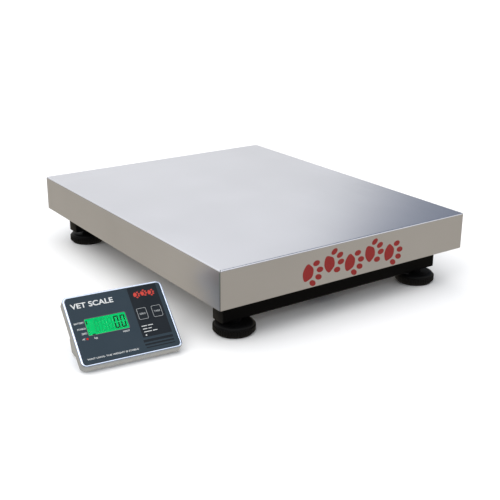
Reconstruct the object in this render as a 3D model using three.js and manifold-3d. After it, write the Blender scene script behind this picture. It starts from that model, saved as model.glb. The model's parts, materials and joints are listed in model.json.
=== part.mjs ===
// Platform weighing scale for animals: a lift-off stainless pan on a sprung upper frame and a single
// load cell, a black base frame on four screw feet, and a separate tilted indicator beside it.
// Millimetres, +X to the right, +Y to the back, +Z up, with the floor at z = 0.
import * as THREE from 'three';
import Module from 'manifold-3d';
import { mergeVertices } from 'three/addons/utils/BufferGeometryUtils.js';

const wasm = await Module();
wasm.setup();

// ---- Driving dimensions -------------------------------------------------------------------------

// Fits
const GAP = 0.3;                  // between two pieces that touch
const BORE_PLAY = 0.3;            // between a bolt or stud and the side of its hole
const GUIDE_PLAY = 1.2;           // between the pan's skirt and the upper frame that guides it
const OVERRUN = 1;                // how far a cutting tool, or a joined stub, runs past a face

// Pan
const PAN_WIDTH = 500;            // left to right
const PAN_DEPTH = 617;            // front to back
const PAN_SKIRT = 63;             // height of the folded skirt
const PAN_SHEET = 1.5;
const PAN_CLEARANCE = 64;         // floor to the skirt's lower edge

// Base frame
const BEAM_CLEARANCE = 24;        // floor to the underside of the base beams
const BEAM_HEIGHT = 40;
const BEAM_DEPTH = 28;
const BEAM_WALL = 3;
const BEAM_END_INSET = 29;        // pan's side to the beam's end
const BASE_SPINE_WIDTH = 60;
const BASE_SPINE_WALL = 4;

// Levelling feet
const FOOT_INSET_X = 58;          // pan's side to the foot's axis
const FOOT_INSET_Y = 49.5;        // pan's front or back to the foot's axis
const FOOT_RADIUS = 33.7;
const FOOT_RIM_TOP = 13;          // top of the ribbed band
const FOOT_CHAMFER = 2.4;
const FOOT_STEP = 2.2;            // ledge between the ribbed band and the dome
const FOOT_STEP_RISE = 1;
const FOOT_DOME_SHARE = 0.72;     // where the dome meets the flat hub, as a share of the radius
const PAD_THICKNESS = 2.5;
const PAD_RADIUS = 29.5;
const STUD_RADIUS = 6;
const STUD_HEAD_RADIUS = 10.4;
const STUD_HEAD_HEIGHT = 8;
const LOCK_NUT_HEIGHT = 5;
const WELD_NUT_HEIGHT = 10;

// Overload stops
const STOP_INSET_X = 100;         // pan's side to the stop's axis
const STOP_RADIUS = 4;
const STOP_NUT_RADIUS = 7.5;
const STOP_NUT_HEIGHT = 6;
const STOP_GAP = 0.9;             // sag at which the upper frame meets the stops

// Upper frame
const UPPER_BEAM_HEIGHT = 30;
const UPPER_BEAM_DEPTH = 60;
const UPPER_BEAM_WALL = 2.5;
const UPPER_SPINE_WIDTH = 70;
const UPPER_SPINE_HEIGHT = 38;
const UPPER_SPINE_WALL = 3;
const BUMPER_RADIUS = 12;
const BUMPER_THICKNESS = 3;

// Load cell
const CELL_LENGTH = 150;
const CELL_WIDTH = 40;
const CELL_HEIGHT = 40;
const CELL_BORE_RADIUS = 12;
const CELL_BORE_SPACING = 30;     // between the two bores of the bending section
const CELL_SLOT = 6;              // height of the slot that joins them
const CELL_BOLT_INSET = 13;       // end face to the outer bolt
const CELL_BOLT_SPACING = 25;
const CELL_BOLT_RADIUS = 5;
const CELL_BOLT_GRIP = 18;        // how far a bolt goes into the cell
const CELL_HOLE_SPARE = 2;        // hole left below a bolt's tip
const BOLT_HEAD_RADIUS = 8;
const BOLT_HEAD_HEIGHT = 8;
const SPANNER_PLAY = 1;           // round a bolt's head in the access hole above it
const SPACER_LENGTH = 50;

// Cable gland
const GLAND_RADIUS = 6;
const GLAND_BORE = 3;
const GLAND_COLLAR_RADIUS = 9;
const GLAND_COLLAR_HEIGHT = 5.6;
const GLAND_CAP_RADIUS = 7.7;
const GLAND_CAP_BOTTOM = 6.4;
const GLAND_CAP_TOP = 12;
const GLAND_NOSE_RADIUS = 5.4;
const GLAND_LENGTH = 16;
const GLAND_INSET = 4;            // thread that stands proud inside the wall
const BASE_GLAND_Y = 150;

// Indicator
const FACE_WIDTH = 154;
const FACE_HEIGHT = 112;
const FACE_RADIUS = 8.5;
const FACE_TILT = THREE.MathUtils.degToRad(42);   // from the floor up
const INDICATOR_YAW = THREE.MathUtils.degToRad(-6.3);
const INDICATOR_LEFT = 200;       // pan's left side to the indicator's near left corner
const INDICATOR_BACK = 41;        // pan's front to the indicator's near left corner
const TRAY_DEPTH = 15;
const TRAY_SHEET = 1.2;
const RIM_WIDTH = 3.5;
const POCKET_DEPTH = 0.8;         // the printed overlay sits this far down inside the rim
const OVERLAY_THICKNESS = 0.4;
const TRAY_LIFT = 1.3;            // floor to the tray's lowest edge

// Indicator's rear housing, as distances down the face and behind the rim
const HOUSING_WIDTH = 136;
const HOUSING_SHEET = 1.2;
const HOUSING_EDGE = 0.6;         // back plate's edge inside the tray's edge
const HOUSING_TOP = 34;
const HOUSING_CREST = 46;
const HOUSING_CREST_DEPTH = 50;
const HOUSING_HEEL_DEPTH = 58;
const RUNNER_THICKNESS = 2.5;
const RUNNER_WIDTH = 10;
const RUNNER_INSET_X = 9;
const RUNNER_INSET_Y = 4;

// Indicator's face, as distances from its left edge and down from its top edge
const WINDOW = { left: 23.3, top: 40, width: 61, height: 25.7, radius: 1 };
const KEY_SIZE = { width: 15.6, height: 19.2, radius: 2.6 };
const KEY_TOP = 39;
const KEY_RIGHTS = { zero: 36.6, tare: 13.7 };    // face's right edge to each key's right side
const KEY_TRAVEL = 0.4;
const KEY_RISE = 0.2;             // above the rim
const KEY_SKIRT = 1.1;            // below the rim
const LED_PLACE = { left: 19.7, top: 70 };
const LED_RADIUS = 1.5;

// Indicator's inner parts
const BOARD_DEPTH = 9;            // rim to the board's front
const BOARD_THICKNESS = 1.6;
const BOARD_SIDE_PLAY = 2.8;      // board's sides to the lower posts
const BOARD_END_PLAY = 0.6;       // board's ends to the upper posts
const DISPLAY_MARGIN = 1.5;
const WINDOW_THICKNESS = 1.65;
const SWITCH_SIZE = 6.2;
const SWITCH_BODY = 3.5;
const SWITCH_PLUNGER_RADIUS = 1.75;
const SWITCH_SLACK = 0.15;
const BATTERY = { width: 72, height: 24, thickness: 18 };
const BATTERY_TOP = 50;
const SCREW_RADIUS = 1.5;
const SCREW_HEAD_RADIUS = 2.9;
const SCREW_HEAD_HEIGHT = 1.8;
const SCREW_LENGTH = 8;
const POST_RADIUS = 3.4;
const POST_INSET = 5.8;           // face's side to the lower posts
const LOWER_POST_UP = 12;         // face's lower edge to the lower posts
const UPPER_POST_INSET = 17;
const UPPER_POST_DOWN = 12;
const STANDOFF_RADIUS = 2.5;
const STANDOFF_INSET = 5;
const SOCKET = { width: 12, height: 9, depth: 11 };
const SOCKET_FLANGE = 1.5;        // both how far it laps the wall and how thick it is
const SOCKET_BORE_RADIUS = 3;
const SOCKET_OFFSET = 48;
const INDICATOR_GLAND_OFFSET = -48;

// Facets
const SMALL_SIDES = 16;
const BIG_SIDES = 40;
const HEX = 6;
const CORNER_SEGMENTS = 4;

// ---- Places worked out from them ----------------------------------------------------------------

const PAN_TOP = PAN_CLEARANCE + PAN_SKIRT;
const PAN_UNDERSIDE = PAN_TOP - PAN_SHEET;
const FOOT_X = PAN_WIDTH / 2 - FOOT_INSET_X;
const FOOT_Y = PAN_DEPTH / 2 - FOOT_INSET_Y;
const STOP_X = PAN_WIDTH / 2 - STOP_INSET_X;
const BEAM_TOP = BEAM_CLEARANCE + BEAM_HEIGHT;
const BEAM_HALF_LENGTH = PAN_WIDTH / 2 - BEAM_END_INSET;
const BASE_SPINE_END = FOOT_Y - BEAM_DEPTH / 2 - GAP;

const UPPER_TOP = PAN_UNDERSIDE - GAP - BUMPER_THICKNESS - GAP;
const UPPER_BEAM_HALF_LENGTH = PAN_WIDTH / 2 - PAN_SHEET - GUIDE_PLAY;
const UPPER_BEAM_OUTER = PAN_DEPTH / 2 - PAN_SHEET - GUIDE_PLAY;
const UPPER_BEAM_Y = UPPER_BEAM_OUTER - UPPER_BEAM_DEPTH / 2;
const UPPER_BEAM_BOTTOM = UPPER_TOP - UPPER_BEAM_HEIGHT;
const UPPER_SPINE_BOTTOM = UPPER_TOP - UPPER_SPINE_HEIGHT;
const UPPER_SPINE_END = UPPER_BEAM_OUTER - UPPER_BEAM_DEPTH - GAP;

// The two spacers share what the load cell leaves between the base spine and the upper spine.
const WEB_TOP = BEAM_CLEARANCE + BASE_SPINE_WALL;
const SPACER_THICKNESS = (UPPER_SPINE_BOTTOM - WEB_TOP - CELL_HEIGHT - 4 * GAP) / 2;
const CELL_BOTTOM = WEB_TOP + GAP + SPACER_THICKNESS + GAP;
const CELL_TOP = CELL_BOTTOM + CELL_HEIGHT;
const CELL_MIDDLE = CELL_BOTTOM + CELL_HEIGHT / 2;
const SPACER_Y = CELL_LENGTH / 2 - SPACER_LENGTH / 2;
const CELL_BOLT_YS = [
  CELL_LENGTH / 2 - CELL_BOLT_INSET,
  CELL_LENGTH / 2 - CELL_BOLT_INSET - CELL_BOLT_SPACING,
];

const FOOT_UNDERSIDE = PAD_THICKNESS + GAP;
const LOCK_NUT_TOP = BEAM_CLEARANCE - GAP;
const FOOT_TOP = LOCK_NUT_TOP - LOCK_NUT_HEIGHT - GAP;
const STUD_HEAD_BOTTOM = FOOT_UNDERSIDE + GAP;
const STUD_TOP = BEAM_TOP - BEAM_WALL - 2 * GAP;

// On the indicator, local x runs across the face, local y up it and local z out of it.
const FACE_SIN = Math.sin(FACE_TILT);
const FACE_COS = Math.cos(FACE_TILT);
const FACE_CENTRE_Z = TRAY_LIFT + TRAY_DEPTH * FACE_COS + (FACE_HEIGHT / 2) * FACE_SIN;
const FACE_CENTRE_Y = (FACE_HEIGHT / 2) * FACE_COS;
const HOUSING_UNDERSIDE = RUNNER_THICKNESS + GAP;
const BACK_PLATE_FRONT = -(TRAY_DEPTH + GAP);
const BACK_PLATE_BACK = BACK_PLATE_FRONT - HOUSING_SHEET;
const WALL_BACK = -(POCKET_DEPTH + TRAY_SHEET);
const BOARD_FRONT = -BOARD_DEPTH;
const BOARD_BACK = BOARD_FRONT - BOARD_THICKNESS;
const BOARD_WIDTH = FACE_WIDTH - 2 * (POST_INSET + POST_RADIUS + BOARD_SIDE_PLAY);
const BOARD_HEIGHT = FACE_HEIGHT - 2 * (UPPER_POST_DOWN + POST_RADIUS + BOARD_END_PLAY);
const POSTS = [
  { x: FACE_WIDTH / 2 - POST_INSET, y: LOWER_POST_UP - FACE_HEIGHT / 2 },
  { x: FACE_WIDTH / 2 - UPPER_POST_INSET, y: FACE_HEIGHT / 2 - UPPER_POST_DOWN },
];
const SIDES = { left: -1, right: 1 };
const ENDS = { front: -1, rear: 1 };

// ---- Shapes and booleans ------------------------------------------------------------------------

function block(width, depth, z0, z1, x = 0, y = 0) {
  const geometry = new THREE.BoxGeometry(width, depth, z1 - z0);
  return geometry.translate(x, y, (z0 + z1) / 2);
}

function rod(radius, z0, z1, x = 0, y = 0, sides = SMALL_SIDES) {
  const geometry = new THREE.CylinderGeometry(radius, radius, z1 - z0, sides);
  geometry.rotateX(Math.PI / 2);
  return geometry.translate(x, y, (z0 + z1) / 2);
}

function turned(profile, sides) {
  const points = profile.map(([radius, z]) => new THREE.Vector2(radius, z));
  return new THREE.LatheGeometry(points, sides).rotateX(Math.PI / 2);
}

function roundedRectangle(width, height, radius, x = 0, y = 0) {
  const right = x + width / 2 - radius;
  const top = y + height / 2 - radius;
  const left = x - width / 2 + radius;
  const bottom = y - height / 2 + radius;
  const shape = new THREE.Shape();
  shape.absarc(right, top, radius, 0, Math.PI / 2);
  shape.absarc(left, top, radius, Math.PI / 2, Math.PI);
  shape.absarc(left, bottom, radius, Math.PI, Math.PI * 1.5);
  shape.absarc(right, bottom, radius, Math.PI * 1.5, Math.PI * 2);
  return shape;
}

function prism(shape, z0, z1) {
  const options = { depth: z1 - z0, bevelEnabled: false, curveSegments: CORNER_SEGMENTS };
  return new THREE.ExtrudeGeometry(shape, options).translate(0, 0, z0);
}

// A closed outline in (y, z), run along x from -width/2 to width/2.
function runAlongX(outline, width) {
  const shape = new THREE.Shape(outline.map(([y, z]) => new THREE.Vector2(y, z)));
  const turn = new THREE.Matrix4().set(0, 0, 1, 0, 1, 0, 0, 0, 0, 1, 0, 0, 0, 0, 0, 1);
  return prism(shape, -width / 2, width / 2).applyMatrix4(turn);
}

function toManifold(geometry) {
  const bare = geometry.clone();
  bare.deleteAttribute('normal');
  bare.deleteAttribute('uv');
  const merged = mergeVertices(bare);
  const vertProperties = merged.attributes.position.array;
  const triVerts = new Uint32Array(merged.index.array);
  return new wasm.Manifold(new wasm.Mesh({ numProp: 3, vertProperties, triVerts }));
}

function toGeometry(manifold) {
  const mesh = manifold.getMesh();
  const geometry = new THREE.BufferGeometry();
  geometry.setAttribute('position', new THREE.BufferAttribute(mesh.vertProperties, 3));
  geometry.setIndex(new THREE.BufferAttribute(mesh.triVerts, 1));
  geometry.computeVertexNormals();
  return geometry;
}

function cut(geometry, ...tools) {
  return toGeometry(tools.reduce((body, tool) => body.subtract(toManifold(tool)), toManifold(geometry)));
}

function join(geometry, ...others) {
  return toGeometry(others.reduce((body, other) => body.add(toManifold(other)), toManifold(geometry)));
}

// ---- Materials ----------------------------------------------------------------------------------

function finish(color, roughness, metalness) {
  return new THREE.MeshStandardMaterial({ color, roughness, metalness });
}

const brushedSteel = finish(0xc6c9cd, 0.35, 1);
const blackPaint = finish(0x141414, 0.5, 0.1);
const blackPlastic = finish(0x0f0f10, 0.65, 0);
const blackRubber = finish(0x0b0b0b, 0.9, 0);
const zincPlate = finish(0xa8abad, 0.35, 1);
const millAluminium = finish(0xb9bcc0, 0.45, 1);
const slateFilm = finish(0x3f4b53, 0.55, 0);
const darkFilm = finish(0x22282e, 0.55, 0);
const clearAcrylic = finish(0xdff5e6, 0.08, 0);
const litGreen = finish(0x05c765, 0.4, 0);
const boardGreen = finish(0x1c5a34, 0.5, 0);
const redLens = finish(0xb5121b, 0.2, 0);
const cellWrap = finish(0x2b4f86, 0.45, 0);

// ---- Pan ----------------------------------------------------------------------------------------

function makePan() {
  const outside = block(PAN_WIDTH, PAN_DEPTH, PAN_CLEARANCE, PAN_TOP);
  const insideWidth = PAN_WIDTH - 2 * PAN_SHEET;
  const insideDepth = PAN_DEPTH - 2 * PAN_SHEET;
  return cut(outside, block(insideWidth, insideDepth, PAN_CLEARANCE - PAN_SHEET, PAN_UNDERSIDE));
}

function makePanBumper(side, end) {
  const bottom = UPPER_TOP + GAP;
  return rod(BUMPER_RADIUS, bottom, bottom + BUMPER_THICKNESS, side * FOOT_X, end * UPPER_BEAM_Y);
}

// ---- Upper frame --------------------------------------------------------------------------------

function makeUpperBeam(end) {
  const length = 2 * UPPER_BEAM_HALF_LENGTH;
  const y = end * UPPER_BEAM_Y;
  const inner = UPPER_BEAM_WALL;
  const outside = block(length, UPPER_BEAM_DEPTH, UPPER_BEAM_BOTTOM, UPPER_TOP, 0, y);
  const bottom = UPPER_BEAM_BOTTOM + inner;
  const ceiling = UPPER_TOP - inner;
  const hollow = block(length + OVERRUN, UPPER_BEAM_DEPTH - 2 * inner, bottom, ceiling, 0, y);
  return cut(outside, hollow);
}

// A square tube with plain holes for the load cell's bolts below and for the spanner above.
function makeUpperSpine() {
  const wall = UPPER_SPINE_WALL;
  const length = 2 * UPPER_SPINE_END;
  const outside = block(UPPER_SPINE_WIDTH, length, UPPER_SPINE_BOTTOM, UPPER_TOP);
  const bottom = UPPER_SPINE_BOTTOM + wall;
  const hollow = block(UPPER_SPINE_WIDTH - 2 * wall, length + OVERRUN, bottom, UPPER_TOP - wall);
  const holes = CELL_BOLT_YS.flatMap((y) => [
    rod(CELL_BOLT_RADIUS + BORE_PLAY, UPPER_SPINE_BOTTOM - wall, bottom + wall, 0, y),
    rod(BOLT_HEAD_RADIUS + SPANNER_PLAY, UPPER_TOP - 2 * wall, UPPER_TOP + wall, 0, y),
  ]);
  return cut(outside, hollow, ...holes);
}

function boltHoles(end, z0, z1) {
  return CELL_BOLT_YS.map((y) => rod(CELL_BOLT_RADIUS + BORE_PLAY, z0, z1, 0, end * y));
}

function makeSpacer(end, bottom) {
  const top = bottom + SPACER_THICKNESS;
  const plate = block(CELL_WIDTH, SPACER_LENGTH, bottom, top, 0, end * SPACER_Y);
  return cut(plate, ...boltHoles(end, bottom - OVERRUN, top + OVERRUN));
}

function makeUpperBolt(y) {
  const head = UPPER_SPINE_BOTTOM + UPPER_SPINE_WALL + GAP;
  const shaft = rod(CELL_BOLT_RADIUS, CELL_TOP - CELL_BOLT_GRIP, head + OVERRUN, 0, y);
  return join(rod(BOLT_HEAD_RADIUS, head, head + BOLT_HEAD_HEIGHT, 0, y, HEX), shaft);
}

// ---- Load cell ----------------------------------------------------------------------------------

function makeLoadCell() {
  const body = block(CELL_WIDTH, CELL_LENGTH, CELL_BOTTOM, CELL_TOP);
  const through = CELL_WIDTH / 2 + OVERRUN;
  const bore = (y) => {
    const tool = rod(CELL_BORE_RADIUS, -through, through);
    return tool.rotateY(Math.PI / 2).translate(0, y, CELL_MIDDLE);
  };
  const half = CELL_BORE_SPACING / 2;
  const slotBottom = CELL_MIDDLE - CELL_SLOT / 2;
  const slot = block(2 * through, CELL_BORE_SPACING, slotBottom, slotBottom + CELL_SLOT);
  const depth = CELL_BOLT_GRIP + CELL_HOLE_SPARE;
  const lower = boltHoles(ENDS.front, CELL_BOTTOM - OVERRUN, CELL_BOTTOM + depth);
  const upper = boltHoles(ENDS.rear, CELL_TOP - depth, CELL_TOP + OVERRUN);
  return cut(body, bore(-half), bore(half), slot, ...lower, ...upper);
}

function makeLowerBolt(y) {
  const top = BEAM_CLEARANCE - GAP;
  const shaft = rod(CELL_BOLT_RADIUS, top - OVERRUN, CELL_BOTTOM + CELL_BOLT_GRIP, 0, -y);
  return join(rod(BOLT_HEAD_RADIUS, top - BOLT_HEAD_HEIGHT, top, 0, -y, HEX), shaft);
}

// ---- Base frame ---------------------------------------------------------------------------------

// A closed box beam with a nut welded inside over each foot and a hole above for each overload stop.
function makeBaseBeam(end) {
  const y = end * FOOT_Y;
  const wall = BEAM_WALL;
  const length = 2 * BEAM_HALF_LENGTH;
  const floor = BEAM_CLEARANCE + wall;
  const outside = block(length, BEAM_DEPTH, BEAM_CLEARANCE, BEAM_TOP, 0, y);
  const hollow = block(length - 2 * wall, BEAM_DEPTH - 2 * wall, floor, BEAM_TOP - wall, 0, y);
  const sides = Object.values(SIDES);
  const nutTop = floor + WELD_NUT_HEIGHT;
  const nut = (side) => rod(STUD_HEAD_RADIUS, floor - OVERRUN, nutTop, side * FOOT_X, y, HEX);
  const bore = STUD_RADIUS + BORE_PLAY;
  const studHole = (side) => rod(bore, BEAM_CLEARANCE - OVERRUN, nutTop + OVERRUN, side * FOOT_X, y);
  const stopBore = STOP_RADIUS + BORE_PLAY;
  const stopHole = (side) => rod(stopBore, BEAM_TOP - 2 * wall, BEAM_TOP + OVERRUN, side * STOP_X, y);
  const box = join(cut(outside, hollow), ...sides.map(nut));
  return cut(box, ...sides.map(studHole), ...sides.map(stopHole));
}

// An upright channel between the two beams, which carries the load cell and the cable gland.
function makeBaseSpine() {
  const wall = BASE_SPINE_WALL;
  const length = 2 * BASE_SPINE_END;
  const outside = block(BASE_SPINE_WIDTH, length, BEAM_CLEARANCE, BEAM_TOP);
  const trough = block(BASE_SPINE_WIDTH - 2 * wall, length + OVERRUN, WEB_TOP, BEAM_TOP + OVERRUN);
  const glandHole = rod(GLAND_RADIUS + BORE_PLAY, -wall, wall).rotateY(Math.PI / 2);
  glandHole.translate((wall - BASE_SPINE_WIDTH) / 2, BASE_GLAND_Y, (WEB_TOP + BEAM_TOP) / 2);
  const holes = boltHoles(ENDS.front, BEAM_CLEARANCE - OVERRUN, WEB_TOP + OVERRUN);
  return cut(outside, trough, glandHole, ...holes);
}

function makeOverloadStop(side, end) {
  const x = side * STOP_X;
  const y = end * FOOT_Y;
  const nutBottom = BEAM_TOP + GAP;
  const shaft = rod(STOP_RADIUS, BEAM_TOP - 2 * BEAM_WALL, UPPER_BEAM_BOTTOM - STOP_GAP, x, y);
  return join(shaft, rod(STOP_NUT_RADIUS, nutBottom, nutBottom + STOP_NUT_HEIGHT, x, y, HEX));
}

// A gland with its wall face at z = 0, its thread below and its clamping cap above.
function makeGland(wall) {
  const inner = -(wall + GLAND_INSET);
  const profile = [
    [GLAND_BORE, inner],
    [GLAND_RADIUS, inner],
    [GLAND_RADIUS, GAP],
    [GLAND_COLLAR_RADIUS, GAP],
    [GLAND_COLLAR_RADIUS, GLAND_COLLAR_HEIGHT],
    [GLAND_CAP_RADIUS, GLAND_CAP_BOTTOM],
    [GLAND_CAP_RADIUS, GLAND_CAP_TOP],
    [GLAND_NOSE_RADIUS, GLAND_LENGTH],
    [GLAND_BORE, GLAND_LENGTH],
    [GLAND_BORE, inner],
  ];
  return turned(profile, SMALL_SIDES);
}

// ---- Levelling feet -----------------------------------------------------------------------------

function makeFootPad() {
  return rod(PAD_RADIUS, 0, PAD_THICKNESS, 0, 0, BIG_SIDES);
}

// A moulded disc: ribbed band, low step and dome, with a pocket below for the stud's head.
function makeFootDisc() {
  const domeFoot = FOOT_RADIUS - FOOT_STEP;
  const domeBottom = FOOT_RIM_TOP + FOOT_STEP_RISE;
  const domeTop = FOOT_RADIUS * FOOT_DOME_SHARE;
  const pocketTop = STUD_HEAD_BOTTOM + STUD_HEAD_HEIGHT + GAP;
  const dome = [1 / 3, 2 / 3].map((share) => {
    const angle = share * Math.PI / 2;
    const radius = domeTop + (domeFoot - domeTop) * Math.cos(angle);
    return [radius, domeBottom + (FOOT_TOP - domeBottom) * Math.sin(angle)];
  });
  const profile = [
    [STUD_RADIUS + BORE_PLAY, pocketTop],
    [STUD_HEAD_RADIUS + BORE_PLAY, pocketTop],
    [STUD_HEAD_RADIUS + BORE_PLAY, FOOT_UNDERSIDE],
    [FOOT_RADIUS - FOOT_CHAMFER, FOOT_UNDERSIDE],
    [FOOT_RADIUS, FOOT_UNDERSIDE + FOOT_CHAMFER],
    [FOOT_RADIUS, FOOT_RIM_TOP],
    [domeFoot, FOOT_RIM_TOP],
    [domeFoot, domeBottom],
    ...dome,
    [domeTop, FOOT_TOP],
    [STUD_RADIUS + BORE_PLAY, FOOT_TOP],
    [STUD_RADIUS + BORE_PLAY, pocketTop],
  ];
  return turned(profile, BIG_SIDES);
}

function makeFootStud() {
  const head = rod(STUD_HEAD_RADIUS, STUD_HEAD_BOTTOM, STUD_HEAD_BOTTOM + STUD_HEAD_HEIGHT, 0, 0, HEX);
  return join(head, rod(STUD_RADIUS, STUD_HEAD_BOTTOM + OVERRUN, STUD_TOP));
}

function makeLockNut() {
  const bottom = LOCK_NUT_TOP - LOCK_NUT_HEIGHT;
  const nut = rod(STUD_HEAD_RADIUS, bottom, LOCK_NUT_TOP, 0, 0, HEX);
  return cut(nut, rod(STUD_RADIUS + BORE_PLAY, bottom - OVERRUN, LOCK_NUT_TOP + OVERRUN));
}

// ---- Indicator ----------------------------------------------------------------------------------

// Turns a place measured from the face's upper left corner into its middle in the face's own axes.
function onFace({ left, top, width = 0, height = 0 }) {
  return { x: left + width / 2 - FACE_WIDTH / 2, y: FACE_HEIGHT / 2 - top - height / 2 };
}

function faceRectangle(place, grow = 0) {
  const { x, y } = onFace(place);
  const width = place.width + 2 * grow;
  return roundedRectangle(width, place.height + 2 * grow, place.radius + grow, x, y);
}

// The face's own outline, brought in by inset all round.
function faceOutline(inset) {
  const width = FACE_WIDTH - 2 * inset;
  return roundedRectangle(width, FACE_HEIGHT - 2 * inset, FACE_RADIUS - inset);
}

function keyPlace(name) {
  const left = FACE_WIDTH - KEY_RIGHTS[name] - KEY_SIZE.width;
  return { left, top: KEY_TOP, ...KEY_SIZE };
}

function faceOpenings(z0, z1) {
  const led = onFace(LED_PLACE);
  const places = [WINDOW, ...Object.keys(KEY_RIGHTS).map(keyPlace)];
  const openings = places.map((place) => prism(faceRectangle(place, GAP), z0, z1));
  return [...openings, rod(LED_RADIUS + BORE_PLAY, z0, z1, led.x, led.y)];
}

// Both rows of screw posts, on the left and on the right.
function postPlaces() {
  return POSTS.flatMap(({ x, y }) => Object.values(SIDES).map((side) => ({ x: side * x, y })));
}

function standoffPlaces() {
  const x = BOARD_WIDTH / 2 - STANDOFF_INSET;
  const y = BOARD_HEIGHT / 2 - STANDOFF_INSET;
  return Object.values(SIDES).flatMap((side) => [{ x: side * x, y }, { x: side * x, y: -y }]);
}

// The front tray: a folded sheet with a rim round a shallow pocket, screw posts and board standoffs.
function makeFrontTray() {
  const outside = prism(faceOutline(0), -TRAY_DEPTH, 0);
  const hollow = prism(faceOutline(TRAY_SHEET), -TRAY_DEPTH - OVERRUN, WALL_BACK);
  const pocket = prism(faceOutline(RIM_WIDTH), -POCKET_DEPTH, OVERRUN);
  const shell = cut(outside, hollow, pocket);
  const rooted = WALL_BACK + TRAY_SHEET / 2;
  const posts = postPlaces().map(({ x, y }) => rod(POST_RADIUS, -TRAY_DEPTH, rooted, x, y));
  const standoffs = standoffPlaces().map(({ x, y }) => {
    return rod(STANDOFF_RADIUS, BOARD_FRONT + GAP, rooted, x, y, HEX);
  });
  const pilotTop = SCREW_LENGTH + OVERRUN - TRAY_DEPTH;
  const pilots = postPlaces().map(({ x, y }) => {
    return rod(SCREW_RADIUS + BORE_PLAY, -TRAY_DEPTH - OVERRUN, pilotTop, x, y);
  });
  return cut(join(shell, ...posts, ...standoffs), ...pilots, ...faceOpenings(WALL_BACK - OVERRUN, OVERRUN));
}

// The housing's outline in the face's (y, z), with its lower side lying level above the runners.
function housingOutline(sheet) {
  const down = (distance) => FACE_HEIGHT / 2 - distance;
  const level = HOUSING_UNDERSIDE + sheet;
  const onUnderside = (depth) => (level - FACE_CENTRE_Z + depth * FACE_COS) / FACE_SIN;
  const front = TRAY_DEPTH + GAP;
  const reach = sheet > 0 ? front - HOUSING_SHEET : front + HOUSING_SHEET / 2;
  return [
    [down(HOUSING_TOP + sheet), -reach],
    [down(HOUSING_CREST + sheet), -(HOUSING_CREST_DEPTH - sheet)],
    [onUnderside(HOUSING_HEEL_DEPTH - sheet), -(HOUSING_HEEL_DEPTH - sheet)],
    [onUnderside(reach), -reach],
  ];
}

// Puts a fitting whose wall face is z = 0 on the housing's sloping upper side.
function placeOnSlope(object, x) {
  const [[topY, topZ], [crestY, crestZ]] = housingOutline(0);
  const along = new THREE.Vector3(0, crestY - topY, crestZ - topZ).normalize();
  const across = new THREE.Vector3(1, 0, 0);
  const outward = new THREE.Vector3().crossVectors(across, along);
  object.applyMatrix4(new THREE.Matrix4().makeBasis(across, outward.clone().cross(across), outward));
  object.applyMatrix4(new THREE.Matrix4().makeTranslation(x, (topY + crestY) / 2, (topZ + crestZ) / 2));
  return object;
}

function makeRearHousing() {
  const plate = prism(faceOutline(HOUSING_EDGE), BACK_PLATE_BACK, BACK_PLATE_FRONT);
  const box = runAlongX(housingOutline(0), HOUSING_WIDTH);
  const inside = runAlongX(housingOutline(HOUSING_SHEET), HOUSING_WIDTH - 2 * HOUSING_SHEET);
  const screwHoles = postPlaces().map(({ x, y }) => {
    return rod(SCREW_RADIUS + BORE_PLAY, BACK_PLATE_BACK - OVERRUN, BACK_PLATE_FRONT + OVERRUN, x, y);
  });
  const wall = HOUSING_SHEET;
  const glandHole = placeOnSlope(rod(GLAND_RADIUS + BORE_PLAY, -2 * wall, wall), INDICATOR_GLAND_OFFSET);
  const socketHole = placeOnSlope(block(SOCKET.width, SOCKET.height, -2 * wall, wall), SOCKET_OFFSET);
  return cut(join(plate, box), inside, glandHole, socketHole, ...screwHoles);
}

function makeOverlay() {
  const bottom = GAP - POCKET_DEPTH;
  const film = prism(faceOutline(RIM_WIDTH + GAP), bottom, bottom + OVERLAY_THICKNESS);
  return cut(film, ...faceOpenings(bottom - OVERRUN, OVERRUN));
}

function makeKey(name) {
  return prism(faceRectangle(keyPlace(name)), -KEY_SKIRT, KEY_RISE);
}

function makeWindow() {
  return prism(faceRectangle(WINDOW), WALL_BACK, WALL_BACK + WINDOW_THICKNESS);
}

function makeDisplay() {
  const { x, y } = onFace(WINDOW);
  const width = WINDOW.width + 2 * DISPLAY_MARGIN;
  return block(width, WINDOW.height + 2 * DISPLAY_MARGIN, BOARD_FRONT + GAP, WALL_BACK - GAP, x, y);
}

function makeBoard() {
  return block(BOARD_WIDTH, BOARD_HEIGHT, BOARD_BACK, BOARD_FRONT);
}

function makeKeySwitch(name) {
  const { x, y } = onFace(keyPlace(name));
  const bottom = BOARD_FRONT + GAP;
  const body = block(SWITCH_SIZE, SWITCH_SIZE, bottom, bottom + SWITCH_BODY, x, y);
  const top = -(KEY_SKIRT + KEY_TRAVEL + SWITCH_SLACK);
  return join(body, rod(SWITCH_PLUNGER_RADIUS, bottom + OVERRUN, top, x, y));
}

function makeLed() {
  const { x, y } = onFace(LED_PLACE);
  return rod(LED_RADIUS, BOARD_FRONT + GAP, -GAP, x, y);
}

function makeBattery() {
  const top = BOARD_BACK - GAP;
  const y = FACE_HEIGHT / 2 - BATTERY_TOP - BATTERY.height / 2;
  return block(BATTERY.width, BATTERY.height, top - BATTERY.thickness, top, 0, y);
}

function makeScrew({ x, y }) {
  const headTop = BACK_PLATE_BACK - GAP;
  const head = rod(SCREW_HEAD_RADIUS, headTop - SCREW_HEAD_HEIGHT, headTop, x, y);
  return join(head, rod(SCREW_RADIUS, headTop - OVERRUN, SCREW_LENGTH - TRAY_DEPTH, x, y));
}

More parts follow.
